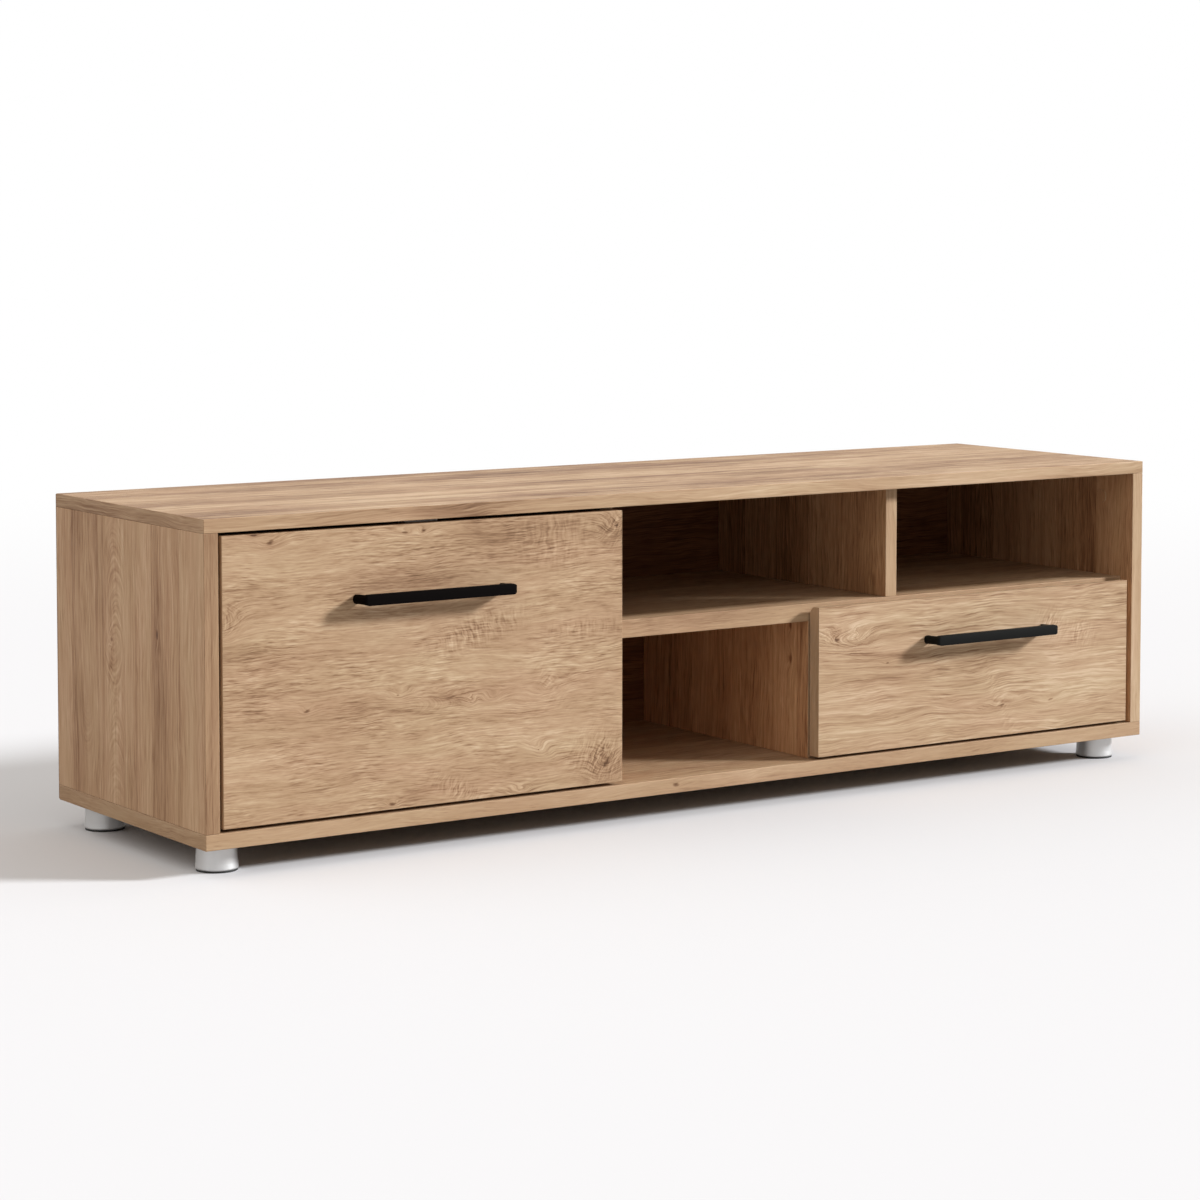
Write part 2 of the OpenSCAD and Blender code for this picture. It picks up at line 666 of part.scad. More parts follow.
module hinge_pins() color("gray") {
    for (s = hinge_places) at(s - pin_half, pin_in, pin_h) head_right() cylinder(r = pin_r, h = 2 * pin_half);
}
module hinge_cup_screws() color("silver") cup_screw_places() translate([0, 0, flange_t])
    screw(WOOD, plate_screw_len + flange_t);

arm_screw_d = arm_riser_d + arm_plate_len - 8;
module arm_screw_places() for (s = hinge_places, side = [-1, 1])
    at(s + side * (arm_plate_w / 2 - 7), arm_screw_d - (side + 1) * 8, board_t) children();
module hinge_arm_screw_holes() arm_screw_places() screw_hole(WOOD, plate_screw_len);
module hinge_arms() color("silver") difference() {
    for (s = hinge_places) {
        at(s - arm_w / 2, pin_in, pin_h) head_right() cylinder(r = eye_r, h = arm_w);
        at(s - arm_w / 2, pin_in, pin_h - arm_half_t)
            cube([arm_w, arm_riser_d + arm_riser_t - pin_in, 2 * arm_half_t]);
        at(s - arm_w / 2, arm_riser_d, board_t) cube([arm_w, arm_riser_t, pin_h + arm_half_t - board_t]);
        at(s - arm_plate_w / 2, arm_riser_d, board_t) cube([arm_plate_w, arm_plate_len, arm_plate_t]);
    }
    for (s = hinge_places) at(s - arm_w, pin_in, pin_h) head_right()
        cylinder(r = pin_r + fit_play / 2, h = 2 * arm_w);
    arm_screw_places() translate([0, 0, arm_plate_t]) screw_hole(WOOD, plate_screw_len + arm_plate_t);
}
module hinge_arm_screws() color("silver") arm_screw_places() translate([0, 0, arm_plate_t])
    screw(WOOD, plate_screw_len + arm_plate_t);

// ---- Flap stay ----
module bracket_screw_places() for (side = [-1, 1])
    at(ear_s + ear_t + (bracket_w - ear_t) / 2 + 1, front_t, flap_pivot[1] + side * (bracket_h / 2 - 6))
        head_back() children();
module stay_bracket() color("silver") difference() {
    union() {
        at(ear_s, front_t, flap_pivot[1] - bracket_h / 2) cube([bracket_w, bracket_t, bracket_h]);
        at(ear_s, front_t, flap_pivot[1] - 7) cube([ear_t, stay_back, 14]);
        at(ear_s, flap_pivot[0], flap_pivot[1]) head_right() cylinder(r = 7, h = ear_t);
    }
    at(ear_s - eps, flap_pivot[0], flap_pivot[1]) head_right()
        cylinder(r = pivot_r + fit_play / 2, h = ear_t + 2 * eps);
    bracket_screw_places() screw_hole(WOOD, plate_screw_len);
    bracket_screw_places() cylinder(r = WOOD[0] + fit_play, h = bracket_t + eps);
}
module stay_bracket_screws() color("silver") bracket_screw_places() translate([0, 0, bracket_t])
    screw(WOOD, plate_screw_len + bracket_t);
module stay_pivot_pin() color("gray") at(ear_s, flap_pivot[0], flap_pivot[1]) {
    pin_end = stay_s + rod_eye_t / 2 + 2 - ear_s;
    translate([-1.2, 0, 0]) head_right() cylinder(r = 4, h = 1.2);
    head_right() cylinder(r = pivot_r, h = pin_end);
}
module stay_rod() color("lightgray") at(stay_s, flap_pivot[0], flap_pivot[1]) rotate([rod_tilt, 0, 0])
    difference() {
        union() {
            translate([-rod_eye_t / 2, 0, 0]) head_right() cylinder(r = rod_eye_r, h = rod_eye_t);
            head_back() cylinder(r = stay_rod_r, h = rod_reach + stop_len);
        }
        translate([-rod_eye_t, 0, 0]) head_right() cylinder(r = pivot_r + fit_play / 2, h = 2 * rod_eye_t);
    }
module stay_rod_stop() color("dimgray") at(stay_s, flap_pivot[0], flap_pivot[1]) rotate([rod_tilt, 0, 0])
    translate([0, rod_reach, 0]) difference() {
        head_back() cylinder(r = stop_r, h = stop_len + 2);
        translate([0, -eps, 0]) head_back() cylinder(r = stay_rod_r, h = stop_len + eps);
    }
module stay_base_screw_places() for (side = [-1, 1])
    at(board_t, block_pivot[0] + side * base_screw_reach, block_pivot[1]) head_right() children();
module stay_base_screw_holes() stay_base_screw_places() screw_hole(PLATE, plate_screw_len);
module stay_base() color("silver") difference() {
    union() {
        at(board_t, block_pivot[0] - base_len / 2, block_pivot[1] - base_w / 2)
            cube([base_t, base_len, base_w]);
        at(board_t, block_pivot[0], block_pivot[1]) head_right() cylinder(r = stub_r, h = base_t + stub_len);
    }
    stay_base_screw_places() translate([0, 0, base_t]) screw_hole(PLATE, plate_screw_len + base_t);
}
module stay_base_screws() color("silver") stay_base_screw_places() translate([0, 0, base_t])
    screw(PLATE, plate_screw_len + base_t);
brake_seat_s = stay_s + stay_rod_r + fit_play + 0.1;
module stay_block() color("dimgray") at(0, block_pivot[0], block_pivot[1]) rotate([rod_tilt, 0, 0])
    difference() {
        translate([block_s, -block_len / 2, -block_w / 2]) cube([block_end_s - block_s, block_len, block_w]);
        translate([block_s - eps, 0, 0]) head_right()
            cylinder(r = stub_r + fit_play, h = board_t + base_t + stub_len + 0.3 - block_s + eps);
        translate([stay_s, -block_len, 0]) head_back() cylinder(r = stay_rod_r + fit_play, h = 2 * block_len);
        translate([brake_seat_s, 0, 0]) head_right() cylinder(r = 2 + fit_play, h = block_end_s);
    }
module stay_brake_screw() color("dimgray") at(0, block_pivot[0], block_pivot[1]) rotate([rod_tilt, 0, 0]) {
    translate([brake_seat_s, 0, 0]) head_right() cylinder(r = 2, h = block_end_s - brake_seat_s);
    translate([block_end_s, 0, 0]) head_right() difference() {
        cylinder(r = 6.5, h = 6);
        for (turn = [0 : 30 : 330]) rotate([0, 0, turn]) translate([7.1, 0, -eps])
            cylinder(r = 1.2, h = 6 + 2 * eps, $fn = 24);
    }
}

// ---- Catch ----
module catch_screw_places() for (side = [-1, 1])
    at(flap_mid + side * (catch_w / 2 - 6), catch_front + catch_d / 2, top_h - catch_h)
        head_down() children();
module catch_screw_holes() catch_screw_places() screw_hole(SMALL, catch_h + 10);
module catch_magnet() color("white") difference() {
    board(flap_mid - catch_w / 2, catch_front, top_h - catch_h, catch_w, catch_d, catch_h);
    catch_screw_places() translate([0, 0, eps]) screw_hole(SMALL, catch_h + 2 * eps);
}
module catch_screws() color("silver") catch_screw_places() screw(SMALL, catch_h + 10);
module strike_place() at(flap_mid, front_t, strike_top - strike_h / 2) head_back() children();
module catch_strike() color("silver") difference() {
    board(flap_mid - strike_w / 2, front_t, strike_top - strike_h, strike_w, strike_t, strike_h);
    strike_place() translate([0, 0, strike_t]) screw_hole(STRIKE, strike_t + eps);
}
module strike_screw() color("silver") strike_place() translate([0, 0, strike_t]) screw(STRIKE, 8 + strike_t);

// ---- Drawer ----
box_end_s = box_s + box_w;
box_screw_h = [box_low + 24, box_low + box_h - 15];
front_screw_h = [box_low + 28, box_low + box_h - 26];
box_screw_inset = 60;
front_screw_s = [box_s + box_screw_inset, box_end_s - box_screw_inset];
bottom_screw_s = [box_s + box_screw_inset, box_s + box_w / 2, box_end_s - box_screw_inset];
module box_screw_places() {
    for (d = [front_t + box_t / 2, front_t + box_len - box_t / 2], h = box_screw_h) {
        at(box_s, d, h) head_left() children();
        at(box_end_s, d, h) head_right() children();
    }
}
module front_screw_places() for (s = front_screw_s, h = front_screw_h)
    at(s, front_t + box_t, h) head_back() children();
module bottom_screw_places() for (s = bottom_screw_s)
    at(s, front_t + box_len - box_t / 2, sheet_h) head_down() children();
module sheet_groove() at(box_s + box_t - groove, front_t + box_t - groove, sheet_h)
    cube([box_w - 2 * box_t + 2 * groove, box_len, box_sheet_t + sheet_play]);

module drawer_front_rounding() at(drawer_s - eps, front_t - drawer_round_r, drawer_top - drawer_round_r)
    difference() {
        cube([drawer_w + 2 * eps, drawer_round_r + eps, drawer_round_r + eps]);
        head_right() cylinder(r = drawer_round_r, h = drawer_w + 2 * eps);
    }
module drawer_front() color("burlywood") difference() {
    board(drawer_s, 0, flap_h, drawer_w, front_t, drawer_top - flap_h);
    drawer_front_rounding();
    drawer_handle_places() screw_hole(MACHINE, drawer_handle_screw_len);
    front_screw_places() screw_hole(WOOD, box_t + front_screw_grip);
}
module drawer_handle() color("black") at(drawer_handle_s, 0, drawer_handle_h) handle();
module drawer_handle_screws() color("silver") drawer_handle_places() screw(MACHINE, drawer_handle_screw_len);
module drawer_bumpers() color("white") {
    for (p = [[lower_divider_s + board_t / 2, box_low + 20], [lower_divider_s + board_t / 2, shelf_h - 30],
            [side_s - 40, drawer_top - drawer_round_r - bumper_r]])
        at(p[0], front_t, p[1]) head_back() cylinder(r = bumper_r, h = front_setback - bumper_play);
}
module drawer_inner_front() color("tan") difference() {
    board(box_s + box_t, front_t, box_low, box_w - 2 * box_t, box_t, box_h);
    sheet_groove();
    drawer_handle_places() screw_hole(MACHINE, drawer_handle_screw_len);
    front_screw_places() screw_hole(WOOD, box_t + front_screw_grip);
    box_screw_places() screw_hole(WOOD, box_screw_len);
}
module drawer_side(s) difference() {
    board(s, front_t, box_low, box_t, box_len, box_h);
    sheet_groove();
    box_screw_places() {
        screw_hole(WOOD, box_screw_len);
        translate([0, 0, -WOOD[2]]) cylinder(r = WOOD[1] + fit_play, h = WOOD[2] + eps);
    }
    slide_inner_screw_places() screw_hole(PLATE, inner_screw_len);
}
module drawer_left_side() color("tan") drawer_side(box_s);
module drawer_right_side() color("tan") drawer_side(box_end_s - box_t);
back_low = sheet_h + box_sheet_t;
module drawer_back() color("tan") difference() {
    board(box_s + box_t, front_t + box_len - box_t, back_low, box_w - 2 * box_t, box_t,
        box_low + box_h - back_low);
    box_screw_places() screw_hole(WOOD, box_screw_len);
    bottom_screw_places() screw_hole(SMALL, sheet_screw_len);
}
module drawer_bottom() color("tan") difference() {
    board(box_s + box_t - groove + 0.5, front_t + box_t - groove + 0.5, sheet_h,
        box_w - 2 * box_t + 2 * groove - 1, box_len - box_t + groove - 0.5, box_sheet_t);
    bottom_screw_places() screw_hole(SMALL, sheet_screw_len);
}
module drawer_box_screws() color("silver") box_screw_places() translate([0, 0, -WOOD[2]])
    screw(WOOD, box_screw_len - WOOD[2]);
module drawer_front_screws() color("silver") front_screw_places() screw(WOOD, box_t + front_screw_grip);
module drawer_bottom_screws() color("silver") bottom_screw_places() screw(SMALL, sheet_screw_len);

// ---- Drawer slides ----
// Each slide is drawn from the bay's wall, x towards the drawer box
module both_slides() {
    at(bay_s, 0, box_mid) children();
    at(side_s, 0, box_mid) mirror([1, 0, 0]) children();
}
module channel(x, depth, half, d, len, open_to_box) {
    web_x = open_to_box ? x : x + depth - slide_sheet_t;
    translate([web_x, d, -half]) cube([slide_sheet_t, len, 2 * half]);
    for (z = [-half, half - slide_sheet_t]) translate([x, d, z]) cube([depth, len, slide_sheet_t]);
}
module cage(x, depth, z, ball_x) {
    translate([x, cage_d, -z - cage_t / 2]) cube([cage_t, cage_len, 2 * z + cage_t]);
    for (side = [-1, 1]) {
        translate([x, cage_d, side * z - cage_t / 2]) cube([depth, cage_len, cage_t]);
        for (i = [0 : ball_count - 1])
            translate([ball_x, cage_d + cage_len * (i + 0.5) / ball_count, side * z])
                sphere(r = ball_r, $fn = 24);
    }
}
inner_x = slide_gap - inner_depth;
outer_screw_d = [slide_d + 12, slide_mid, slide_d + slide_len - 12];
inner_screw_d = [slide_d + 20, slide_d + slide_len - 20];
module slide_outer_screw_places() both_slides() for (d = outer_screw_d)
    translate([slide_sheet_t, d, 0]) head_right() children();
module slide_outer_screw_holes() slide_outer_screw_places() screw_hole(PLATE, plate_screw_len);
module slide_inner_screw_places() both_slides() for (d = inner_screw_d)
    translate([slide_gap - slide_sheet_t, d, 0]) head_left() children();
module slide_outers() color("silver") difference() {
    both_slides() channel(0, outer_depth, outer_half, slide_d, slide_len, true);
    slide_outer_screw_places() screw_hole(PLATE, plate_screw_len);
}
module slide_middles() color("silver") both_slides()
    channel(middle_x, middle_depth, middle_half, slide_d, slide_len, true);
module slide_inners() color("silver") difference() {
    both_slides() channel(inner_x, inner_depth, inner_half, slide_d, slide_len, false);
    slide_inner_screw_places() screw_hole(PLATE, inner_screw_len);
}
module slide_outer_screws() color("silver") slide_outer_screw_places() screw(PLATE, plate_screw_len);
module slide_inner_screws() color("silver") slide_inner_screw_places() screw(PLATE, inner_screw_len);
module slide_outer_cages() color("gray") both_slides()
    cage(middle_x - 1 - cage_t, 5, outer_half - slide_sheet_t - ball_room / 2, middle_x + 2);
module slide_inner_cages() color("gray") both_slides()
    cage(middle_x + slide_sheet_t + 0.3, 4, middle_half - slide_sheet_t - ball_room / 2, middle_x + 4.4);

top_panel();
bottom_panel();
left_side();
right_side();
left_divider();
middle_shelf();
lower_divider();
upper_divider();
back_panel();
back_pins();
cam_locks();
cam_bolts();
cam_caps();
wood_dowels();
long_screws();
feet();
foot_pads();
foot_screws();
flap_panel();
flap_handle();
flap_handle_screws();
flap_bumpers();
hinge_cups();
hinge_pins();
hinge_cup_screws();
hinge_arms();
hinge_arm_screws();
stay_base();
stay_base_screws();
stay_block();
stay_brake_screw();
stay_rod();
stay_rod_stop();
stay_bracket();
stay_bracket_screws();
stay_pivot_pin();
catch_magnet();
catch_screws();
catch_strike();
strike_screw();
drawer_front();
drawer_handle();
drawer_handle_screws();
drawer_bumpers();
drawer_inner_front();
drawer_left_side();
drawer_right_side();
drawer_back();
drawer_bottom();
drawer_box_screws();
drawer_front_screws();
drawer_bottom_screws();
slide_outers();
slide_middles();
slide_inners();
slide_outer_screws();
slide_inner_screws();
slide_outer_cages();
slide_inner_cages();
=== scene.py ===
"""The looks of a low television bench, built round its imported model.

The bench is oak-decor board: a carcass on four feet, with a drop-down flap on the
left, open bays in the middle and on the right, and a drawer under the right bay.
Metres. +X to the right, +Y to the back, +Z up.
"""
import json
import math

import bmesh
import bpy
from mathutils import Euler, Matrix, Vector

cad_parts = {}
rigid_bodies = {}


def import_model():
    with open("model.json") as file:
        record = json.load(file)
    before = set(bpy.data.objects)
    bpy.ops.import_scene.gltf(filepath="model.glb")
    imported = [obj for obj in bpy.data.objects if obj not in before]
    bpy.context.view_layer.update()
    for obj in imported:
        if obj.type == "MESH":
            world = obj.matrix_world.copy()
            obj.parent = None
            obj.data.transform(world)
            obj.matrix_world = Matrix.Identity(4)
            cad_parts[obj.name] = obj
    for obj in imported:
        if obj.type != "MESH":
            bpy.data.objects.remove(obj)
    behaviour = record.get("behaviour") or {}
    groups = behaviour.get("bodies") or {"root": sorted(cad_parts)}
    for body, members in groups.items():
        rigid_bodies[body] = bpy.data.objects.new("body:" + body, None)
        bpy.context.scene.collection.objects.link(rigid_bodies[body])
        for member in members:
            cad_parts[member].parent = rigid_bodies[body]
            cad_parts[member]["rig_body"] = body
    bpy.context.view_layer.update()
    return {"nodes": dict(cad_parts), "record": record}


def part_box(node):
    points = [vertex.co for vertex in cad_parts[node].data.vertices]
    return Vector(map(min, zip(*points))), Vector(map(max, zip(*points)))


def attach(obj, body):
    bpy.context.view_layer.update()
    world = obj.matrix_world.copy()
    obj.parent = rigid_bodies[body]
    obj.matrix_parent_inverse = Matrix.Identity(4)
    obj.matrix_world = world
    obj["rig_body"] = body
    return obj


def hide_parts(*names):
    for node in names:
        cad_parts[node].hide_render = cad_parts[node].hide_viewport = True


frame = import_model()
SLOTS = {part["node"]: part["material_slot"] for part in frame["record"]["subparts"]}

# ---- Sizes ----
EDGE_EASE = 0.0008          # rounding of the edge bands' corners
HANDLE_EASE = 0.0030        # rounding of a handle's edges
HANDLE_BAR = 0.007          # a handle bar's thickness
HANDLE_LEG_DROP = 0.001     # how much lower a handle's legs are at their feet

MERGE_REACH = 1e-6          # vertices closer than this are one
PLANE_REACH = 10 * MERGE_REACH    # a vertex nearer to a plane than this lies in it
FLAT_ANGLE = 0.5            # degrees: faces that meet at less than this are one
SHARP_ANGLE = 40            # a handle's edges that are sharper than this are rounded
HANDLE_SMOOTH_ANGLE = 35    # edges duller than this are shaded smooth
FIXING_SMOOTH_ANGLE = 30

# The decor's map runs in metres. A board's shown face lies under HIDDEN_FROM across the
# grain, its other face from there up to BAND_FROM, and its edge bands beyond that.
HIDDEN_STEP = 2.5           # how far the other face lies from the shown one
HIDDEN_FROM = 2.0
BAND_STEP = 5.0             # how far the edge bands that face along x lie from it
BAND_SPACING = 1.0          # how much further those that face along y lie, and z again
BAND_FROM = 4.4
FACE_CHANGE = 0.1           # the width of the change from one to the next

# Boards: node, axis of the grain (0 x, 1 y, 2 z), side shown (-1 low, 1 high), place in the
# decor, look
BOARDS = (
    ("flap_panel", 0, -1, (0.0, 0.0), "flap"),
    ("drawer_front", 0, -1, (0.0, 0.0), "drawer"),
    ("left_side", 2, -1, (0.0, 0.0), "side"),
    ("top_panel", 0, 1, (0.83, 0.71), "top"),
    ("bottom_panel", 0, 1, (1.66, 1.42), "board"),
    ("middle_shelf", 0, 1, (2.49, 0.13), "board"),
    ("right_side", 2, -1, (0.0, 0.0), "inner"),
    ("left_divider", 2, 1, (0.6, 0.9), "inner"),
    ("lower_divider", 2, -1, (1.2, 0.4), "inner"),
    ("upper_divider", 2, -1, (1.9, 1.1), "inner"),
)


# ---- Building node trees ----
class Nodes:
    """Adds nodes to a tree. node gives the node, split and group its outputs, the rest one output."""

    def __init__(self, tree):
        self.tree = tree

    def put(self, socket, value):
        if isinstance(value, bpy.types.NodeSocket):
            self.tree.links.new(value, socket)
        elif value is not None:
            socket.default_value = value

    def node(self, kind, inputs=None, **settings):
        made = self.tree.nodes.new(kind)
        for name, value in settings.items():
            setattr(made, name, value)
        for name, value in (inputs or {}).items():
            self.put(made.inputs[name], value)
        return made

    def math(self, operation, a, b=None, c=None):
        made = self.tree.nodes.new("ShaderNodeMath")
        made.operation = operation
        for socket, value in zip(made.inputs, (a, b, c)):
            self.put(socket, value)
        return made.outputs[0]

    def add(self, *terms):
        total = terms[0]
        for term in terms[1:]:
            total = self.math("ADD", total, term)
        return total

    def times(self, a, b):
        return self.math("MULTIPLY", a, b)

    def vector(self, x, y, z=0.0):
        return self.node("ShaderNodeCombineXYZ", {"X": x, "Y": y, "Z": z}).outputs[0]

    def split(self, vector):
        return self.node("ShaderNodeSeparateXYZ", {"Vector": vector}).outputs

    def vectors(self, operation, a, b=None):
        made = self.tree.nodes.new("ShaderNodeVectorMath")
        made.operation = operation
        self.put(made.inputs[0], a)
        self.put(made.inputs[1], b)
        return made.outputs["Value" if operation == "LENGTH" else "Vector"]

    def turned(self, vector, angle):
        inputs = {"Vector": vector, "Angle": angle}
        return self.node("ShaderNodeVectorRotate", inputs, rotation_type="Z_AXIS").outputs[0]

    def noise(self, vector, scale=1.0, detail=2.0, roughness=0.5):
        """Noise centred on 0, about -0.3 to 0.3."""
        made = self.node(
            "ShaderNodeTexNoise",
            {"Vector": vector, "Scale": scale, "Detail": detail, "Roughness": roughness},
        )
        return self.math("SUBTRACT", made.outputs["Fac"], 0.5)

    def ramp(self, value, stops):
        """A colour that runs through the stops, a list of (place, colour)."""
        made = self.node("ShaderNodeValToRGB", {"Fac": value})
        elements = made.color_ramp.elements
        while len(elements) < len(stops):
            elements.new(0.5)
        for element, (place, colour) in zip(elements, stops):
            element.position = place
            element.color = (*colour, 1.0)
        return made.outputs["Color"]

    def smooth(self, value, low, high, to_low=0.0, to_high=1.0):
        made = self.node(
            "ShaderNodeMapRange",
            {"Value": value, "From Min": low, "From Max": high, "To Min": to_low, "To Max": to_high},
            interpolation_type="SMOOTHSTEP",
        )
        return made.outputs["Result"]

    def mix(self, factor, a, b, blend="MIX"):
        """Two colours mixed: a Mix node's colour sockets are its 7th and 8th."""
        made = self.tree.nodes.new("ShaderNodeMix")
        made.data_type = "RGBA"
        made.blend_type = blend
        self.put(made.inputs[0], factor)
        self.put(made.inputs[6], a)
        self.put(made.inputs[7], b)
        return made.outputs[2]

    def bump(self, height, strength, distance):
        inputs = {"Strength": strength, "Distance": distance, "Height": height}
        return self.node("ShaderNodeBump", inputs).outputs["Normal"]

    def group(self, tree, inputs):
        return self.node("ShaderNodeGroup", inputs, node_tree=tree).outputs


WHITE = (1.0, 1.0, 1.0, 1.0)
SOCKETS = {"value": "NodeSocketFloat", "vector": "NodeSocketVector", "colour": "NodeSocketColor"}


def shader_group(name, inputs, outputs):
    """A new shader group with these sockets: (its tree, a Nodes on it, its inputs, its outputs)."""
    tree = bpy.data.node_groups.new(name, "ShaderNodeTree")
    for label, kind, default in inputs:
        socket = tree.interface.new_socket(label, in_out="INPUT", socket_type=SOCKETS[kind])
        if default is not None:
            socket.default_value = default
    for label, kind in outputs:
        tree.interface.new_socket(label, in_out="OUTPUT", socket_type=SOCKETS[kind])
    source = tree.nodes.new("NodeGroupInput")
    target = tree.nodes.new("NodeGroupOutput")
    return tree, Nodes(tree), source.outputs, target.inputs


def material(name):
    """A new material: (it, a Nodes on its tree, its Principled shader's inputs)."""
    made = bpy.data.materials.new(name)
    made.use_nodes = True
    principled = made.node_tree.nodes["Principled BSDF"]
    return made, Nodes(made.node_tree), principled.inputs


# ---- Oak decor ----
OAK_TONES = (
    (0.05, (0.105, 0.048, 0.022)),
    (0.30, (0.255, 0.142, 0.076)),
    (0.52, (0.420, 0.268, 0.158)),
    (0.72, (0.520, 0.360, 0.228)),
    (0.95, (0.640, 0.480, 0.330)),
)
OAK_HUES = ((0.0, (1.0, 0.955, 0.945)), (1.0, (0.985, 1.0, 0.955)))

# What each part of the decor adds to its tone
MIDDLE_TONE = 0.56
STRIP_WEIGHT = 0.55
BAND_WEIGHT = 0.50
CLOUD_WEIGHT = 0.36
GROWTH_WEIGHT = 0.42
STREAK_WEIGHT = 0.85
FIBRE_WEIGHT = 0.40
STROKE_WEIGHT = 0.90
PORE_WEIGHT = -0.10
SEAM_WEIGHT = -0.25
STAIN_AND_SHADOW_WEIGHT = -1.0
KNOT_WEIGHT = -0.40


def make_oak_mark():
    """One place in the decor: a ragged fall-off round it, its core, and strokes across the grain."""
    core_rim, core_heart = 1.4, 0.3       # where a core starts and is full, in its sizes
    bend_size = 0.012
    arch_size = 60.0                      # how far an arch of 1 bends a stroke, a metre from its middle
    stroke_length = 5.0                   # in pitches
    strokes_per_pitch = 1.9
    tree, s, given, out = shader_group(
        "oak_mark",
        [("Map", "vector", None), ("Centre", "vector", None), ("Reach", "vector", (0.03, 0.01, 1.0)),
         ("Turn", "value", 0.0), ("Core", "value", 0.3), ("Ragged", "value", 0.5),
         ("Pitch", "value", 0.006), ("Arch", "value", 0.0)],
        [("Fall", "value"), ("Core", "value"), ("Strokes", "value")],
    )
    local = s.turned(s.vectors("SUBTRACT", given["Map"], given["Centre"]), given["Turn"])
    rough = s.noise(s.vectors("MULTIPLY", given["Map"], (70.0, 170.0, 1.0)), detail=3.0)
    far = s.vectors("LENGTH", s.vectors("DIVIDE", local, given["Reach"]))
    distance = s.add(far, s.times(rough, given["Ragged"]))
    fall = s.math("EXPONENT", s.times(s.times(distance, distance), -1.0))
    s.put(out["Fall"], fall)
    core = s.smooth(distance, s.times(given["Core"], core_rim), s.times(given["Core"], core_heart))
    s.put(out["Core"], core)

    x, y, _ = s.split(local)
    bend = s.times(s.noise(s.vectors("MULTIPLY", given["Map"], (45.0, 60.0, 1.0))), bend_size)
    arch = s.times(s.times(y, y), s.times(given["Arch"], arch_size))
    along = s.math("DIVIDE", s.add(x, bend, arch), given["Pitch"])
    across = s.math("DIVIDE", y, s.times(given["Pitch"], stroke_length))
    place = s.vector(s.times(along, strokes_per_pitch), s.times(across, strokes_per_pitch), 4.0)
    s.put(out["Strokes"], s.times(s.noise(place, detail=1.0), fall))
    return tree


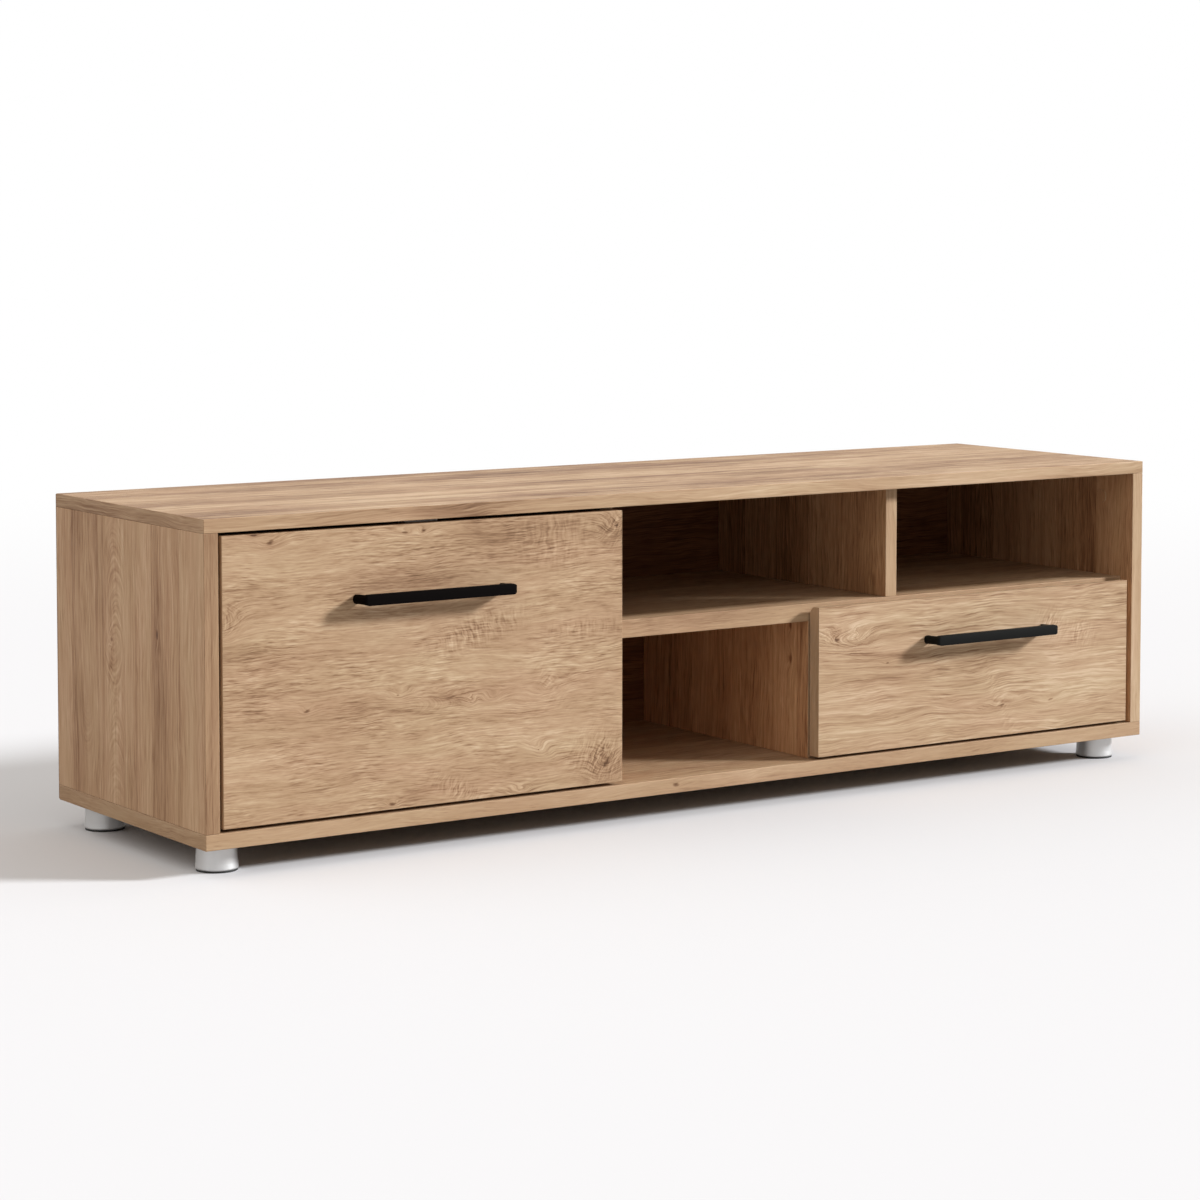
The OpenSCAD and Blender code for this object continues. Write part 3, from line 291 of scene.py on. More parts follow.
def make_oak_grain():
    """Oak decor along u of a map in metres: strips, growth lines, short fine streaks, fibres, pores."""
    seam_starts, seam_full = 0.478, 0.496       # from a strip's middle, in strip widths
    strip_shift = 3.0                           # how far a strip's own place in the grain may lie off
    band_calm = 0.5                             # how much of the fine grain shows on an edge band
    tree, s, given, out = shader_group(
        "oak_grain",
        [("Map", "vector", None), ("Figure", "value", 0.0), ("Knots", "value", 0.0),
         ("Stain And Shadow", "value", 0.0), ("Strokes", "value", 0.0), ("Strip Width", "value", 0.07),
         ("Strip Phase", "value", 0.0), ("Strip Contrast", "value", 0.5), ("Wander", "value", 0.05),
         ("Ripple", "value", 0.0015), ("Band Contrast", "value", 1.0), ("Line Contrast", "value", 1.0),
         ("Streak Contrast", "value", 1.0), ("Stretch", "value", 1.0), ("Tone", "value", 0.0),
         ("Band Tone", "value", 0.0), ("Face Tint", "colour", WHITE)],
        [("Color", "colour"), ("Roughness", "value"), ("Height", "value")],
    )
    u, v, _ = s.split(given["Map"])

    def patches(along, across, place=0.0):
        """Noise in patches: along and across are its scales per metre."""
        return s.noise(s.vector(s.times(u, along), s.times(v, across), place))

    # Strips glued side by side: each has its own tone and its own place in the grain
    strip_v = s.add(v, s.times(patches(0.9, 4.0), 0.012))
    strip = s.math("DIVIDE", s.math("SUBTRACT", strip_v, given["Strip Phase"]), given["Strip Width"])
    number = s.math("FLOOR", strip)
    chance = s.node("ShaderNodeTexWhiteNoise", {"W": number}, noise_dimensions="1D").outputs["Value"]
    strip_tone = s.times(s.math("SUBTRACT", chance, 0.5), given["Strip Contrast"])
    side = s.math("ABSOLUTE", s.math("SUBTRACT", s.math("FRACT", strip), 0.5))
    seam = s.times(s.smooth(side, seam_starts, seam_full), given["Strip Contrast"])

    # The field whose level lines are the growth lines
    slow = s.times(patches(2.2, 5.0), given["Wander"])
    middle = s.times(patches(9.0, 20.0, 3.0), s.times(given["Wander"], 0.3))
    small = s.times(patches(60.0, 90.0, 7.0), given["Ripple"])
    own_place = s.times(chance, s.times(given["Strip Contrast"], strip_shift))
    field = s.add(v, slow, middle, small, given["Figure"], own_place)
    long_u = s.math("DIVIDE", u, given["Stretch"])

    def lines(along, across, place, detail):
        """Noise in lines that follow the growth lines."""
        vector = s.vector(s.times(long_u, along), s.times(field, across), place)
        return s.noise(vector, detail=detail, roughness=0.55)

    bands = lines(2.2, 22.0, 1.0, 2.0)
    growth = lines(11.0, 190.0, 2.0, 2.0)
    streaks = lines(42.0, 520.0, 5.0, 2.0)
    fibres = lines(95.0, 1100.0, 9.0, 1.0)
    pores = s.smooth(lines(70.0, 620.0, 12.0, 1.0), 0.13, 0.25)
    cloud = patches(4.0, 9.0, 31.0)
    patch = s.smooth(patches(12.0, 22.0, 41.0), -0.12, 0.14, 0.6, 1.3)

    band_face = s.smooth(v, BAND_FROM, BAND_FROM + FACE_CHANGE)
    other_face = s.smooth(v, HIDDEN_FROM, HIDDEN_FROM + FACE_CHANGE)
    calm = s.smooth(band_face, 0.0, 1.0, 1.0, band_calm)
    broad = s.add(s.times(bands, BAND_WEIGHT), s.times(cloud, CLOUD_WEIGHT))
    fine = s.add(s.times(streaks, STREAK_WEIGHT), s.times(fibres, FIBRE_WEIGHT))
    tone = s.add(
        MIDDLE_TONE,
        given["Tone"],
        s.times(band_face, given["Band Tone"]),
        s.times(strip_tone, STRIP_WEIGHT),
        s.times(broad, given["Band Contrast"]),
        s.times(s.times(growth, GROWTH_WEIGHT), s.times(given["Line Contrast"], calm)),
        s.times(s.times(fine, s.times(given["Streak Contrast"], patch)), calm),
        s.times(given["Strokes"], STROKE_WEIGHT),
        s.times(pores, PORE_WEIGHT),
        s.times(seam, SEAM_WEIGHT),
        s.times(given["Stain And Shadow"], STAIN_AND_SHADOW_WEIGHT),
        s.times(given["Knots"], KNOT_WEIGHT),
    )
    drift = s.noise(s.vector(s.times(u, 6.0), s.times(field, 28.0), 51.0), detail=2.0)
    hue = s.ramp(s.add(0.5, s.times(drift, 1.6)), OAK_HUES)
    tinted = s.mix(1.0, s.ramp(tone, OAK_TONES), hue, "MULTIPLY")
    face_tint = s.mix(other_face, given["Face Tint"], WHITE)
    s.put(out["Color"], s.mix(1.0, tinted, face_tint, "MULTIPLY"))
    s.put(out["Roughness"], s.smooth(s.add(growth, streaks), -0.3, 0.3, 0.66, 0.54))
    height = s.add(
        s.times(growth, 0.3),
        s.times(streaks, 0.3),
        s.times(fibres, 0.5),
        s.times(pores, -0.6),
        s.times(given["Strokes"], 0.6),
    )
    s.put(out["Height"], height)
    return tree


OAK_MARK = make_oak_mark()
OAK_GRAIN = make_oak_grain()


def oak(name, knots=(), stains_and_shadows=(), strokes=(), **grain):
    """Oak decor, with marks in metres on the board's shown face.

    A knot is (u, v, reach along, reach across, turn, rise of the growth lines, core size),
    a mark, of stained wood or of painted shadow, is (u, v, reach along, reach across,
    turn, depth), and a patch of strokes is (u, v, reach along, reach across, turn, pitch,
    arch, strength). Turns are in degrees, and an arch bends the strokes into nested arcs.
    """
    made, s, shader = material(name)
    grain_map = s.node("ShaderNodeUVMap", uv_map="grain").outputs["UV"]

    def mark(u, v, along, across, turn, **inputs):
        inputs = {label.title(): value for label, value in inputs.items()}
        return s.group(
            OAK_MARK,
            {"Map": grain_map, "Centre": (u, v, 0.0), "Reach": (along, across, 1.0),
             "Turn": -math.radians(turn), **inputs},
        )

    figure, core, stain_and_shadow, rough = 0.0, 0.0, 0.0, 0.0
    for u, v, along, across, turn, rise, size in knots:
        found = mark(u, v, along, across, turn, core=size)
        figure = s.add(s.times(found["Fall"], rise), figure)
        if size > 0:
            core = s.math("MAXIMUM", found["Core"], core)
    # These marks are stained wood, and on the flap and the drawer front some are the handles' painted
    # shadows.
    for u, v, along, across, turn, depth in stains_and_shadows:
        found = mark(u, v, along, across, turn, ragged=0.9)
        stain_and_shadow = s.add(s.times(found["Fall"], depth), stain_and_shadow)
    for u, v, along, across, turn, pitch, arch, strength in strokes:
        found = mark(u, v, along, across, turn, pitch=pitch, arch=arch)
        rough = s.add(s.times(found["Strokes"], strength), rough)
    settings = {label.replace("_", " ").title(): value for label, value in grain.items()}
    marks = {"Figure": figure, "Knots": core, "Stain And Shadow": stain_and_shadow, "Strokes": rough}
    found = s.group(OAK_GRAIN, {"Map": grain_map, **marks, **settings})
    s.put(shader["Base Color"], found["Color"])
    s.put(shader["Roughness"], found["Roughness"])
    s.put(shader["Normal"], s.bump(found["Height"], 0.3, 0.0003))
    shader["Specular IOR Level"].default_value = 0.25
    return made


# ---- Other finishes ----
def make_fine_mottle():
    """A cloudy shade and a fine surface texture, both centred on 0."""
    tree, s, given, out = shader_group(
        "fine_mottle",
        [("Place", "vector", None), ("Cloud Scale", "value", 35.0),
         ("Texture Scale", "value", 900.0)],
        [("Cloud", "value"), ("Texture", "value")],
    )
    s.put(out["Cloud"], s.noise(given["Place"], scale=given["Cloud Scale"], detail=3.0))
    s.put(out["Texture"], s.noise(given["Place"], scale=given["Texture Scale"], detail=2.0))
    return tree


FINE_MOTTLE = make_fine_mottle()
MOTTLE_SPREAD = 3       # the ramp's ends lie this many mottles from the middle
POWDER = {"texture": 1400.0, "bump": 0.25}


def finish(name, colour, roughness, metallic=0.0, mottle=0.06, texture=900.0, bump=0.1, **extra):
    """A finish with a slight mottle in its colour and gloss, and a fine surface texture."""
    made, s, shader = material(name)
    place = s.node("ShaderNodeTexCoord").outputs["Object"]
    found = s.group(FINE_MOTTLE, {"Place": place, "Texture Scale": texture})
    dark = tuple(c * (1 - mottle * MOTTLE_SPREAD) for c in colour)
    light = tuple(min(1.0, c * (1 + mottle * MOTTLE_SPREAD)) for c in colour)
    shade = s.add(0.5, found["Cloud"], s.times(found["Texture"], 0.3))
    gloss = s.add(roughness, s.times(found["Cloud"], 0.15), s.times(found["Texture"], 0.1))
    s.put(shader["Base Color"], s.ramp(shade, [(0.0, dark), (1.0, light)]))
    s.put(shader["Roughness"], gloss)
    shader["Metallic"].default_value = metallic
    s.put(shader["Normal"], s.bump(found["Texture"], bump, 0.0001))
    for label, value in extra.items():
        shader[label.replace("_", " ")].default_value = value
    return made


FLAP_KNOTS = (
    (0.061, 0.316, 0.018, 0.009, 20, 0.007, 0.28),
    (0.040, 0.325, 0.014, 0.006, 0, 0.005, 0.22),
    (0.259, 0.317, 0.010, 0.005, 15, 0.006, 0.36),
    (0.234, 0.317, 0.016, 0.004, -8, 0.006, 0.25),
    (0.000, 0.231, 0.021, 0.018, 0, 0.022, 0.0),
    (0.106, 0.123, 0.012, 0.006, 15, 0.006, 0.36),
    (0.224, 0.131, 0.018, 0.009, 0, 0.008, 0.10),
    (0.282, 0.122, 0.034, 0.012, -6, 0.008, 0.0),
    (0.322, 0.114, 0.008, 0.010, 55, 0.008, 0.12),
    (0.352, 0.116, 0.016, 0.008, 8, 0.010, 0.0),
    (0.430, 0.121, 0.044, 0.011, 20, 0.008, 0.0),
    (0.511, 0.024, 0.028, 0.020, 60, 0.014, 0.22),
    (0.527, 0.308, 0.022, 0.016, 30, 0.014, 0.10),
    (0.216, 0.006, 0.009, 0.004, 0, 0.005, 0.50),
    (0.388, 0.004, 0.016, 0.006, 0, 0.007, 0.0),
    (0.415, 0.050, 0.018, 0.009, -30, 0.009, 0.05),
)
FLAP_STAINS_AND_SHADOW = (
    (0.265, 0.262, 0.085, 0.009, 0, 0.12),
    # Painted shadow of the handle's left leg, at the handle's left end.
    (0.157, 0.240, 0.016, 0.007, 0, 0.11),
    (0.290, 0.122, 0.025, 0.004, -8, 0.20),
    (0.250, 0.109, 0.050, 0.003, -10, 0.15),
    (0.380, 0.094, 0.060, 0.003, 0, 0.13),
    (0.236, 0.011, 0.030, 0.009, 12, 0.13),
    (0.503, 0.032, 0.034, 0.026, 40, 0.12),
    (0.527, 0.305, 0.022, 0.022, 20, 0.12),
    (0.524, 0.190, 0.013, 0.012, 0, 0.10),
    (0.345, 0.196, 0.070, 0.014, 0, 0.06),
    (0.340, 0.020, 0.090, 0.022, 6, 0.05),
    (0.480, 0.222, 0.045, 0.003, -12, 0.15),
    (0.356, 0.213, 0.020, 0.003, -25, 0.17),
    (0.140, 0.212, 0.120, 0.010, 3, 0.06),
    (0.070, 0.170, 0.080, 0.030, 10, 0.04),
    (0.170, 0.045, 0.080, 0.010, 10, 0.07),
    (0.300, 0.160, 0.160, 0.018, 0, -0.05),
    (0.390, 0.245, 0.060, 0.016, 0, -0.03),
    (0.460, 0.155, 0.080, 0.016, 0, -0.05),
    (0.050, 0.080, 0.060, 0.014, 10, -0.06),
)
FLAP_STROKES = (
    (0.445, 0.300, 0.046, 0.032, 0, 0.009, 0.0, 0.7),
    (0.335, 0.198, 0.056, 0.015, 14, 0.006, 0.0, 1.1),
    (0.490, 0.189, 0.050, 0.010, 0, 0.008, 0.0, 0.8),
    (0.505, 0.032, 0.036, 0.026, -28, 0.005, 0.0, 1.3),
    (0.312, 0.009, 0.038, 0.011, -30, 0.005, 0.0, 1.2),
    (0.527, 0.303, 0.022, 0.022, -40, 0.006, 0.0, 0.9),
    (0.435, 0.123, 0.030, 0.009, -50, 0.006, 0.0, 0.9),
    (0.280, 0.116, 0.030, 0.010, 0, 0.007, 2.5, 0.6),
    (0.010, 0.231, 0.014, 0.016, 0, 0.006, 0.8, 1.2),
)
DRAWER_KNOTS = (
    (0.044, 0.145, 0.040, 0.013, -4, 0.018, 0.0),
    (0.029, 0.146, 0.009, 0.005, 0, 0.006, 0.36),
    (0.110, 0.110, 0.010, 0.003, 0, 0.003, 0.20),
    (0.215, 0.047, 0.050, 0.010, -14, 0.005, 0.0),
    (0.300, 0.040, 0.045, 0.009, 8, 0.006, 0.10),
    (0.385, 0.040, 0.028, 0.008, 12, 0.005, 0.14),
)
DRAWER_STAINS_AND_SHADOW = (
    (0.245, 0.150, 0.045, 0.012, 0, 0.11),
    # The next two marks, under the handle, are partly stained wood and partly the handle's painted
    # shadow.
    (0.255, 0.100, 0.085, 0.014, 4, 0.10),
    (0.235, 0.075, 0.060, 0.014, 25, 0.07),
    (0.300, 0.041, 0.070, 0.007, 0, 0.12),
    (0.425, 0.117, 0.016, 0.005, 25, 0.13),
    (0.130, 0.118, 0.060, 0.0025, -6, 0.16),
    (0.090, 0.158, 0.050, 0.0025, 8, 0.12),
    (0.030, 0.146, 0.003, 0.012, 0, 0.12),
    (0.100, 0.030, 0.090, 0.020, 0, -0.04),
    (0.420, 0.075, 0.080, 0.030, 0, -0.06),
    (0.200, 0.175, 0.180, 0.010, 0, -0.04),
)
DRAWER_STROKES = (
    (0.388, 0.138, 0.022, 0.015, -30, 0.006, 0.0, 1.6),
    (0.440, 0.122, 0.022, 0.014, -20, 0.006, 0.0, 1.2),
    (0.300, 0.040, 0.080, 0.010, -62, 0.006, 0.0, 0.9),
    (0.042, 0.146, 0.028, 0.013, 0, 0.008, -3.5, 1.6),
)
SIDE_KNOTS = (
    (0.192, 0.232, 0.010, 0.009, 35, 0.008, 0.30),
    (0.165, 0.224, 0.020, 0.014, 0, 0.010, 0.0),
    (0.210, 0.115, 0.014, 0.006, 0, 0.006, 0.45),
)
SIDE_STAINS = (
    (0.200, 0.119, 0.070, 0.008, 0, 0.09),
    (0.230, 0.222, 0.100, 0.016, 0, 0.04),
    (0.250, 0.374, 0.200, 0.012, 0, 0.08),
    (0.120, 0.170, 0.200, 0.0020, 0, 0.10),
    (0.200, 0.255, 0.200, 0.0020, 0, 0.09),
)
SIDE_STROKES = (
    (0.295, 0.224, 0.040, 0.026, 4, 0.011, 0.9, 1.2),
    (0.228, 0.219, 0.036, 0.028, -5, 0.009, 1.1, 1.2),
    (0.160, 0.226, 0.030, 0.026, 6, 0.010, -0.8, 1.1),
    (0.098, 0.221, 0.040, 0.024, -3, 0.012, 1.0, 1.0),
    (0.040, 0.225, 0.030, 0.022, 5, 0.010, 0.8, 0.8),
    (0.080, 0.300, 0.030, 0.014, 0, 0.009, -1.2, 0.5),
)
BOARD_KNOTS = (
    (2.296, 7.430, 0.008, 0.004, 0, 0.004, 0.6),
)
INNER_KNOTS = (
    (1.364, 0.436, 0.012, 0.005, 0, 0.006, 0.45),
    (1.322, 0.436, 0.014, 0.007, 0, 0.008, 0.45),
)
# Lighter, warmer tint on the left side's outer face: painted light on a face that stands in shade.
SIDE_PAINTED_LIGHT_TINT = (1.06, 1.00, 0.97, 1.0)
# Redder tint on the bay walls' inner faces: the painted colour of the shade inside the bays.
INNER_PAINTED_SHADE_TINT = (1.18, 1.00, 0.86, 1.0)

OAK = {
    "flap": oak(
        "oak_flap", FLAP_KNOTS, FLAP_STAINS_AND_SHADOW, FLAP_STROKES,
        strip_contrast=0.0, strip_width=1.0, strip_phase=-0.5, stretch=1.1,
        streak_contrast=1.08, wander=0.035,
    ),
    "drawer": oak(
        "oak_drawer_front", DRAWER_KNOTS, DRAWER_STAINS_AND_SHADOW, DRAWER_STROKES,
        strip_contrast=0.0, strip_width=1.0, strip_phase=-0.5, stretch=1.9, line_contrast=1.8,
        streak_contrast=1.15, tone=0.06,
    ),
    # The left side's higher tone and its tint are painted light on its shaded outer face.
    "side": oak(
        "oak_left_side", SIDE_KNOTS, SIDE_STAINS, SIDE_STROKES,
        strip_width=0.070, strip_phase=-0.011, strip_contrast=0.32, line_contrast=1.2,
        streak_contrast=0.8, stretch=2.0, tone=0.045, band_tone=-0.27, face_tint=SIDE_PAINTED_LIGHT_TINT,
    ),
    # The top's lower tone is painted shade that offsets the light and sheen on its upper face.
    "top": oak(
        "oak_top", strip_width=0.09, strip_contrast=0.30, band_contrast=1.9, line_contrast=2.2,
        streak_contrast=1.35, stretch=2.2, tone=-0.07, band_tone=0.06,
    ),
    "board": oak(
        "oak_board", BOARD_KNOTS, strip_width=0.09, strip_contrast=0.15, stretch=1.4,
    ),
    "inner": oak(
        "oak_inner", INNER_KNOTS, strip_contrast=0.40, line_contrast=1.4, tone=-0.03, band_tone=0.14,
        stretch=1.6, face_tint=INNER_PAINTED_SHADE_TINT,
    ),
}

FINISHES = {
    "drawer_board": finish("drawer_board_white", (0.66, 0.63, 0.58), 0.5, mottle=0.012),
    "beech": finish("beech_dowel", (0.58, 0.40, 0.24), 0.6),
    "zinc": finish("zinc_plate", (0.62, 0.62, 0.60), 0.32, metallic=1.0),
    "bright_steel": finish("bright_steel", (0.68, 0.68, 0.68), 0.22, metallic=1.0),
    "black_metal": finish("black_powder_coat", (0.010, 0.008, 0.007), 0.45, **POWDER),
    "silver_plastic": finish(
        "silver_plastic", (0.60, 0.595, 0.59), 0.42, metallic=0.7, mottle=0.01,
    ),
    "dark_rubber": finish("dark_rubber", (0.03, 0.03, 0.03), 0.8),
    "dark_plastic": finish("dark_plastic", (0.035, 0.035, 0.036), 0.45),
    "white_plastic": finish("white_plastic", (0.78, 0.77, 0.74), 0.4),
    "clear_plastic": finish("clear_bumper", (0.82, 0.82, 0.80), 0.25),
}


FIBREBOARD_TONES = (
    (0.0, (0.110, 0.058, 0.030)),
    (0.5, (0.205, 0.118, 0.064)),
    (1.0, (0.300, 0.190, 0.110)),
)
# This tint and the decor's lower tone darken the back's oak face: painted shade at the back of the
# bays.
BACK_PAINTED_SHADE_TINT = (0.50, 0.33, 0.24, 1.0)
BACK_DECOR = {"Strip Width": 0.12, "Strip Contrast": 0.3, "Stretch": 2.0, "Tone": -0.12}
BACK_DECOR_LIFT = 0.4       # its place in the decor, across the grain
DECOR_EDGE = 0.0004         # how far before decor_to the decor starts to end


def fibreboard(name, decor_to=None):
    """Raw brown fibreboard. Up to decor_to in y its face carries an oak decor, darkened with painted
    shade.
    """
    made, s, shader = material(name)
    place = s.node("ShaderNodeTexCoord").outputs["Object"]
    found = s.group(FINE_MOTTLE, {"Place": place, "Cloud Scale": 18.0, "Texture Scale": 420.0})
    flecks = s.noise(s.vectors("MULTIPLY", place, (240.0, 240.0, 90.0)), detail=2.0)
    cloud, texture = s.times(found["Cloud"], 0.8), s.times(found["Texture"], 0.7)
    colour = s.ramp(s.add(0.5, cloud, texture, s.times(flecks, 0.6)), FIBREBOARD_TONES)
    if decor_to is not None:
        x, y, z = s.split(place)
        decor_map = s.vector(x, s.add(z, BACK_DECOR_LIFT))
        decor = s.group(OAK_GRAIN, {"Map": decor_map, "Face Tint": BACK_PAINTED_SHADE_TINT, **BACK_DECOR})
        colour = s.mix(s.smooth(y, decor_to - DECOR_EDGE, decor_to), decor["Color"], colour)
    s.put(shader["Base Color"], colour)
    s.put(shader["Roughness"], s.add(0.68, s.times(found["Cloud"], 0.2)))
    s.put(shader["Normal"], s.bump(found["Texture"], 0.3, 0.0002))
    shader["Specular IOR Level"].default_value = 0.2
    return made


BACK_FRONT, BACK_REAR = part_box("back_panel")
FINISHES["fibreboard"] = fibreboard("raw_fibreboard")
BACK_FINISH = fibreboard("back_fibreboard", (BACK_FRONT.y + BACK_REAR.y) / 2)


# ---- Boards and handles ----
def new_object(name, data):
    """A new object in the scene, at its origin."""
    made = bpy.data.objects.new(name, data)
    bpy.context.scene.collection.objects.link(made)
    return made


def merged_copy(node):
    """A CAD node's loose triangles as one clean solid."""
    bm = bmesh.new()
    bm.from_mesh(frame["nodes"][node].data)
    for layer in list(bm.loops.layers.uv.values()):
        bm.loops.layers.uv.remove(layer)
    bmesh.ops.remove_doubles(bm, verts=bm.verts, dist=MERGE_REACH)
    flat = math.radians(FLAT_ANGLE)
    bmesh.ops.dissolve_limit(bm, angle_limit=flat, verts=bm.verts, edges=bm.edges)
    return bm


def outer_edges(bm, low, high):
    """The edges that lie along the outline of the box from low to high."""

    def planes(vertex):
        return {
            (axis, side)
            for axis in range(3)
            for side, corner in enumerate((low, high))
            if abs(vertex.co[axis] - corner[axis]) < PLANE_REACH
        }

    return [e for e in bm.edges if len(planes(e.verts[0]) & planes(e.verts[1])) == 2]


def map_grain(bm, grain, low, high, offset, shown):
    """Gives each face a place in the decor.

    u runs along the grain, and on an edge band along its length. shown is the side of the
    board that shows, and offset is the board's own place in the decor.
    """
    layer = bm.loops.layers.uv.new("grain")
    size = high - low
    thin = min(range(3), key=lambda axis: size[axis])
    for face in bm.faces:
        facing = max(range(3), key=lambda axis: abs(face.normal[axis]))
        in_plane = [axis for axis in range(3) if axis != facing]
        if facing == thin:
            along = grain
            step = 0.0 if face.normal[facing] * shown > 0 else HIDDEN_STEP
        else:
            along = max(in_plane, key=lambda axis: size[axis])
            step = BAND_STEP + facing * BAND_SPACING
        across = next(axis for axis in in_plane if axis != along)
        for loop in face.loops:
            place = loop.vert.co - low
            loop[layer].uv = (place[along] + offset[0], place[across] + offset[1] + step)


def board(node, grain, shown, offset, look):
    """Stands for a board's CAD node: its merged solid with eased edges and the decor's map."""
    low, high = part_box(node)
    bm = merged_copy(node)
    bmesh.ops.bevel(
        bm, geom=outer_edges(bm, low, high), offset=EDGE_EASE, segments=3, profile=0.5,
        affect="EDGES", clamp_overlap=True,
    )
    map_grain(bm, grain, low, high, offset, shown)
    new_piece(node + "_finished", bm, OAK[look], node)


def handle(node, look):
    """Stands for a handle's CAD node: its merged solid with rounded edges and lower feet."""
    low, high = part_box(node)
    bm = merged_copy(node)
    sharp = [
        e for e in bm.edges
        if len(e.link_faces) == 2 and e.calc_face_angle() > math.radians(SHARP_ANGLE)
        and min(e.verts[0].co.y, e.verts[1].co.y) < high.y - PLANE_REACH
    ]
    bmesh.ops.bevel(
        bm, geom=sharp, offset=HANDLE_EASE, segments=4, profile=0.5,
        affect="EDGES", clamp_overlap=True,
    )
    bar_back = low.y + HANDLE_BAR
    for vertex in bm.verts:
        if vertex.co.y > bar_back:
            vertex.co.z -= HANDLE_LEG_DROP * (vertex.co.y - bar_back) / (high.y - bar_back)
    piece = new_piece(node + "_finished", bm, look, node)
    shade_smooth(piece.data, HANDLE_SMOOTH_ANGLE)


def shade_smooth(mesh, angle):
    mesh.shade_smooth()
    mesh.set_sharp_from_angle(angle=math.radians(angle))


def new_piece(name, bm, look, node):
    """A piece that stands for a CAD node and rides on that node's body."""
    mesh = bpy.data.meshes.new(name)
    bm.to_mesh(mesh)
    bm.free()
    if "custom_normal" in mesh.attributes:
        mesh.attributes.remove(mesh.attributes["custom_normal"])
    mesh.materials.clear()
    mesh.materials.append(look)
    for polygon in mesh.polygons:
        polygon.material_index = 0
        polygon.use_smooth = False
    piece = new_object(name, mesh)
    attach(piece, frame["nodes"][node]["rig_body"])
    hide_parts(node)
    return piece


for entry in BOARDS:
    board(*entry)
# Both handles are one black powder coat in two copies: the flap's is darker and glosses less, as
# painted shade, and the drawer's is lighter, as painted light.
handle(
    "flap_handle",
    finish("flap_handle_shaded_black", (0.0016, 0.0008, 0.0006), 0.6, Specular_IOR_Level=0.03, **POWDER),
)
handle(
    "drawer_handle",
    finish("drawer_handle_lit_black", (0.0045, 0.0045, 0.0038), 0.55, Specular_IOR_Level=0.08, **POWDER),
)


# ---- Screws, pins and caps ----
MILLIMETRE = 0.001
HEAD_CORNERS = 20
SHANK_CORNERS = 12
SHANK_START = 0.9           # how deep in its head a shank starts, in head heights
POINT_LENGTH = 2.0          # in shank radii
TIP_RADIUS = 0.3            # in shank radii
BLADE_THICKNESS = 0.26      # of a cross socket, in its widths
CAP_CORNERS = 32
CAP_SLOPE = 0.2             # how far a cap's rim leans in, in millimetres
END_START = 0.95            # a solid's end begins here, from its middle, in half lengths
RIM_START = 0.9             # a head's rim begins here, in head radii

CROSS_SCREWS = (
    "catch_screws", "drawer_bottom_screws", "drawer_box_screws", "drawer_front_screws",
    "drawer_handle_screws", "flap_handle_screws", "foot_screws", "hinge_arm_screws",
    "hinge_cup_screws", "slide_inner_screws", "slide_outer_screws", "stay_base_screws",
    "stay_bracket_screws", "strike_screw",
)
CAPPED_BOARDS = (
    "left_side", "left_divider", "lower_divider", "upper_divider", "right_side", "middle_shelf",
)


def geometry_tree(name, sizes):
    """A new geometry tree with an input for each size: (it, a Nodes on it, its inputs, its output)."""
    tree = bpy.data.node_groups.new(name, "GeometryNodeTree")
    tree.interface.new_socket("Places", in_out="INPUT", socket_type="NodeSocketGeometry")
    for label in sizes:
        tree.interface.new_socket(label, in_out="INPUT", socket_type="NodeSocketFloat")
    tree.interface.new_socket("Finish", in_out="INPUT", socket_type="NodeSocketMaterial")
    tree.interface.new_socket("Pieces", in_out="OUTPUT", socket_type="NodeSocketGeometry")
    source = tree.nodes.new("NodeGroupInput")
    target = tree.nodes.new("NodeGroupOutput")
    return tree, Nodes(tree), source.outputs, target.inputs


def turned_shape(s, corners, bottom, top, low, high, rings=1):
    """A turned shape from low to high on the z axis, with these radii at its bottom and top."""
    made = s.node(
        "GeometryNodeMeshCone",
        {"Vertices": corners, "Side Segments": rings, "Radius Bottom": bottom, "Radius Top": top,
         "Depth": s.math("SUBTRACT", high, low)},
    )
    lifted = s.node(
        "GeometryNodeTransform",
        {"Geometry": made.outputs["Mesh"], "Translation": s.vector(0.0, 0.0, low)},
    )
    return lifted.outputs["Geometry"]


def domed(s, shape, height):
    """Draws a shape that hangs below z = 0 in towards its top, as a pan head is."""
    x, y, z = s.split(s.node("GeometryNodeInputPosition").outputs[0])
    up = s.math("DIVIDE", s.add(z, height), height)
    inward = s.math("SQRT", s.math("SUBTRACT", 1.0, s.times(s.times(up, up), 0.5)))
    made = s.node(
        "GeometryNodeSetPosition",
        {"Geometry": shape, "Position": s.vector(s.times(x, inward), s.times(y, inward), z)},
    )
    return made.outputs["Geometry"]


def cross_socket(s, width, depth):
    """Two crossed blades, centred on z = 0, that cut the socket. Their floors don't coincide."""
    blades = []
    for x_share, y_share, height in ((1.0, BLADE_THICKNESS, 2.0), (BLADE_THICKNESS, 1.0, 1.96)):
        size = s.vector(s.times(width, x_share), s.times(width, y_share), s.times(depth, height))
        blades.append(s.node("GeometryNodeMeshCube", {"Size": size}).outputs["Mesh"])
    return blades


def hexagon_socket(s, width, depth):
    """A six-sided plug, centred on z = 0, that cuts the socket."""
    half = s.times(width, 0.5)
    return [turned_shape(s, 6, half, half, s.times(depth, -1.0), depth)]


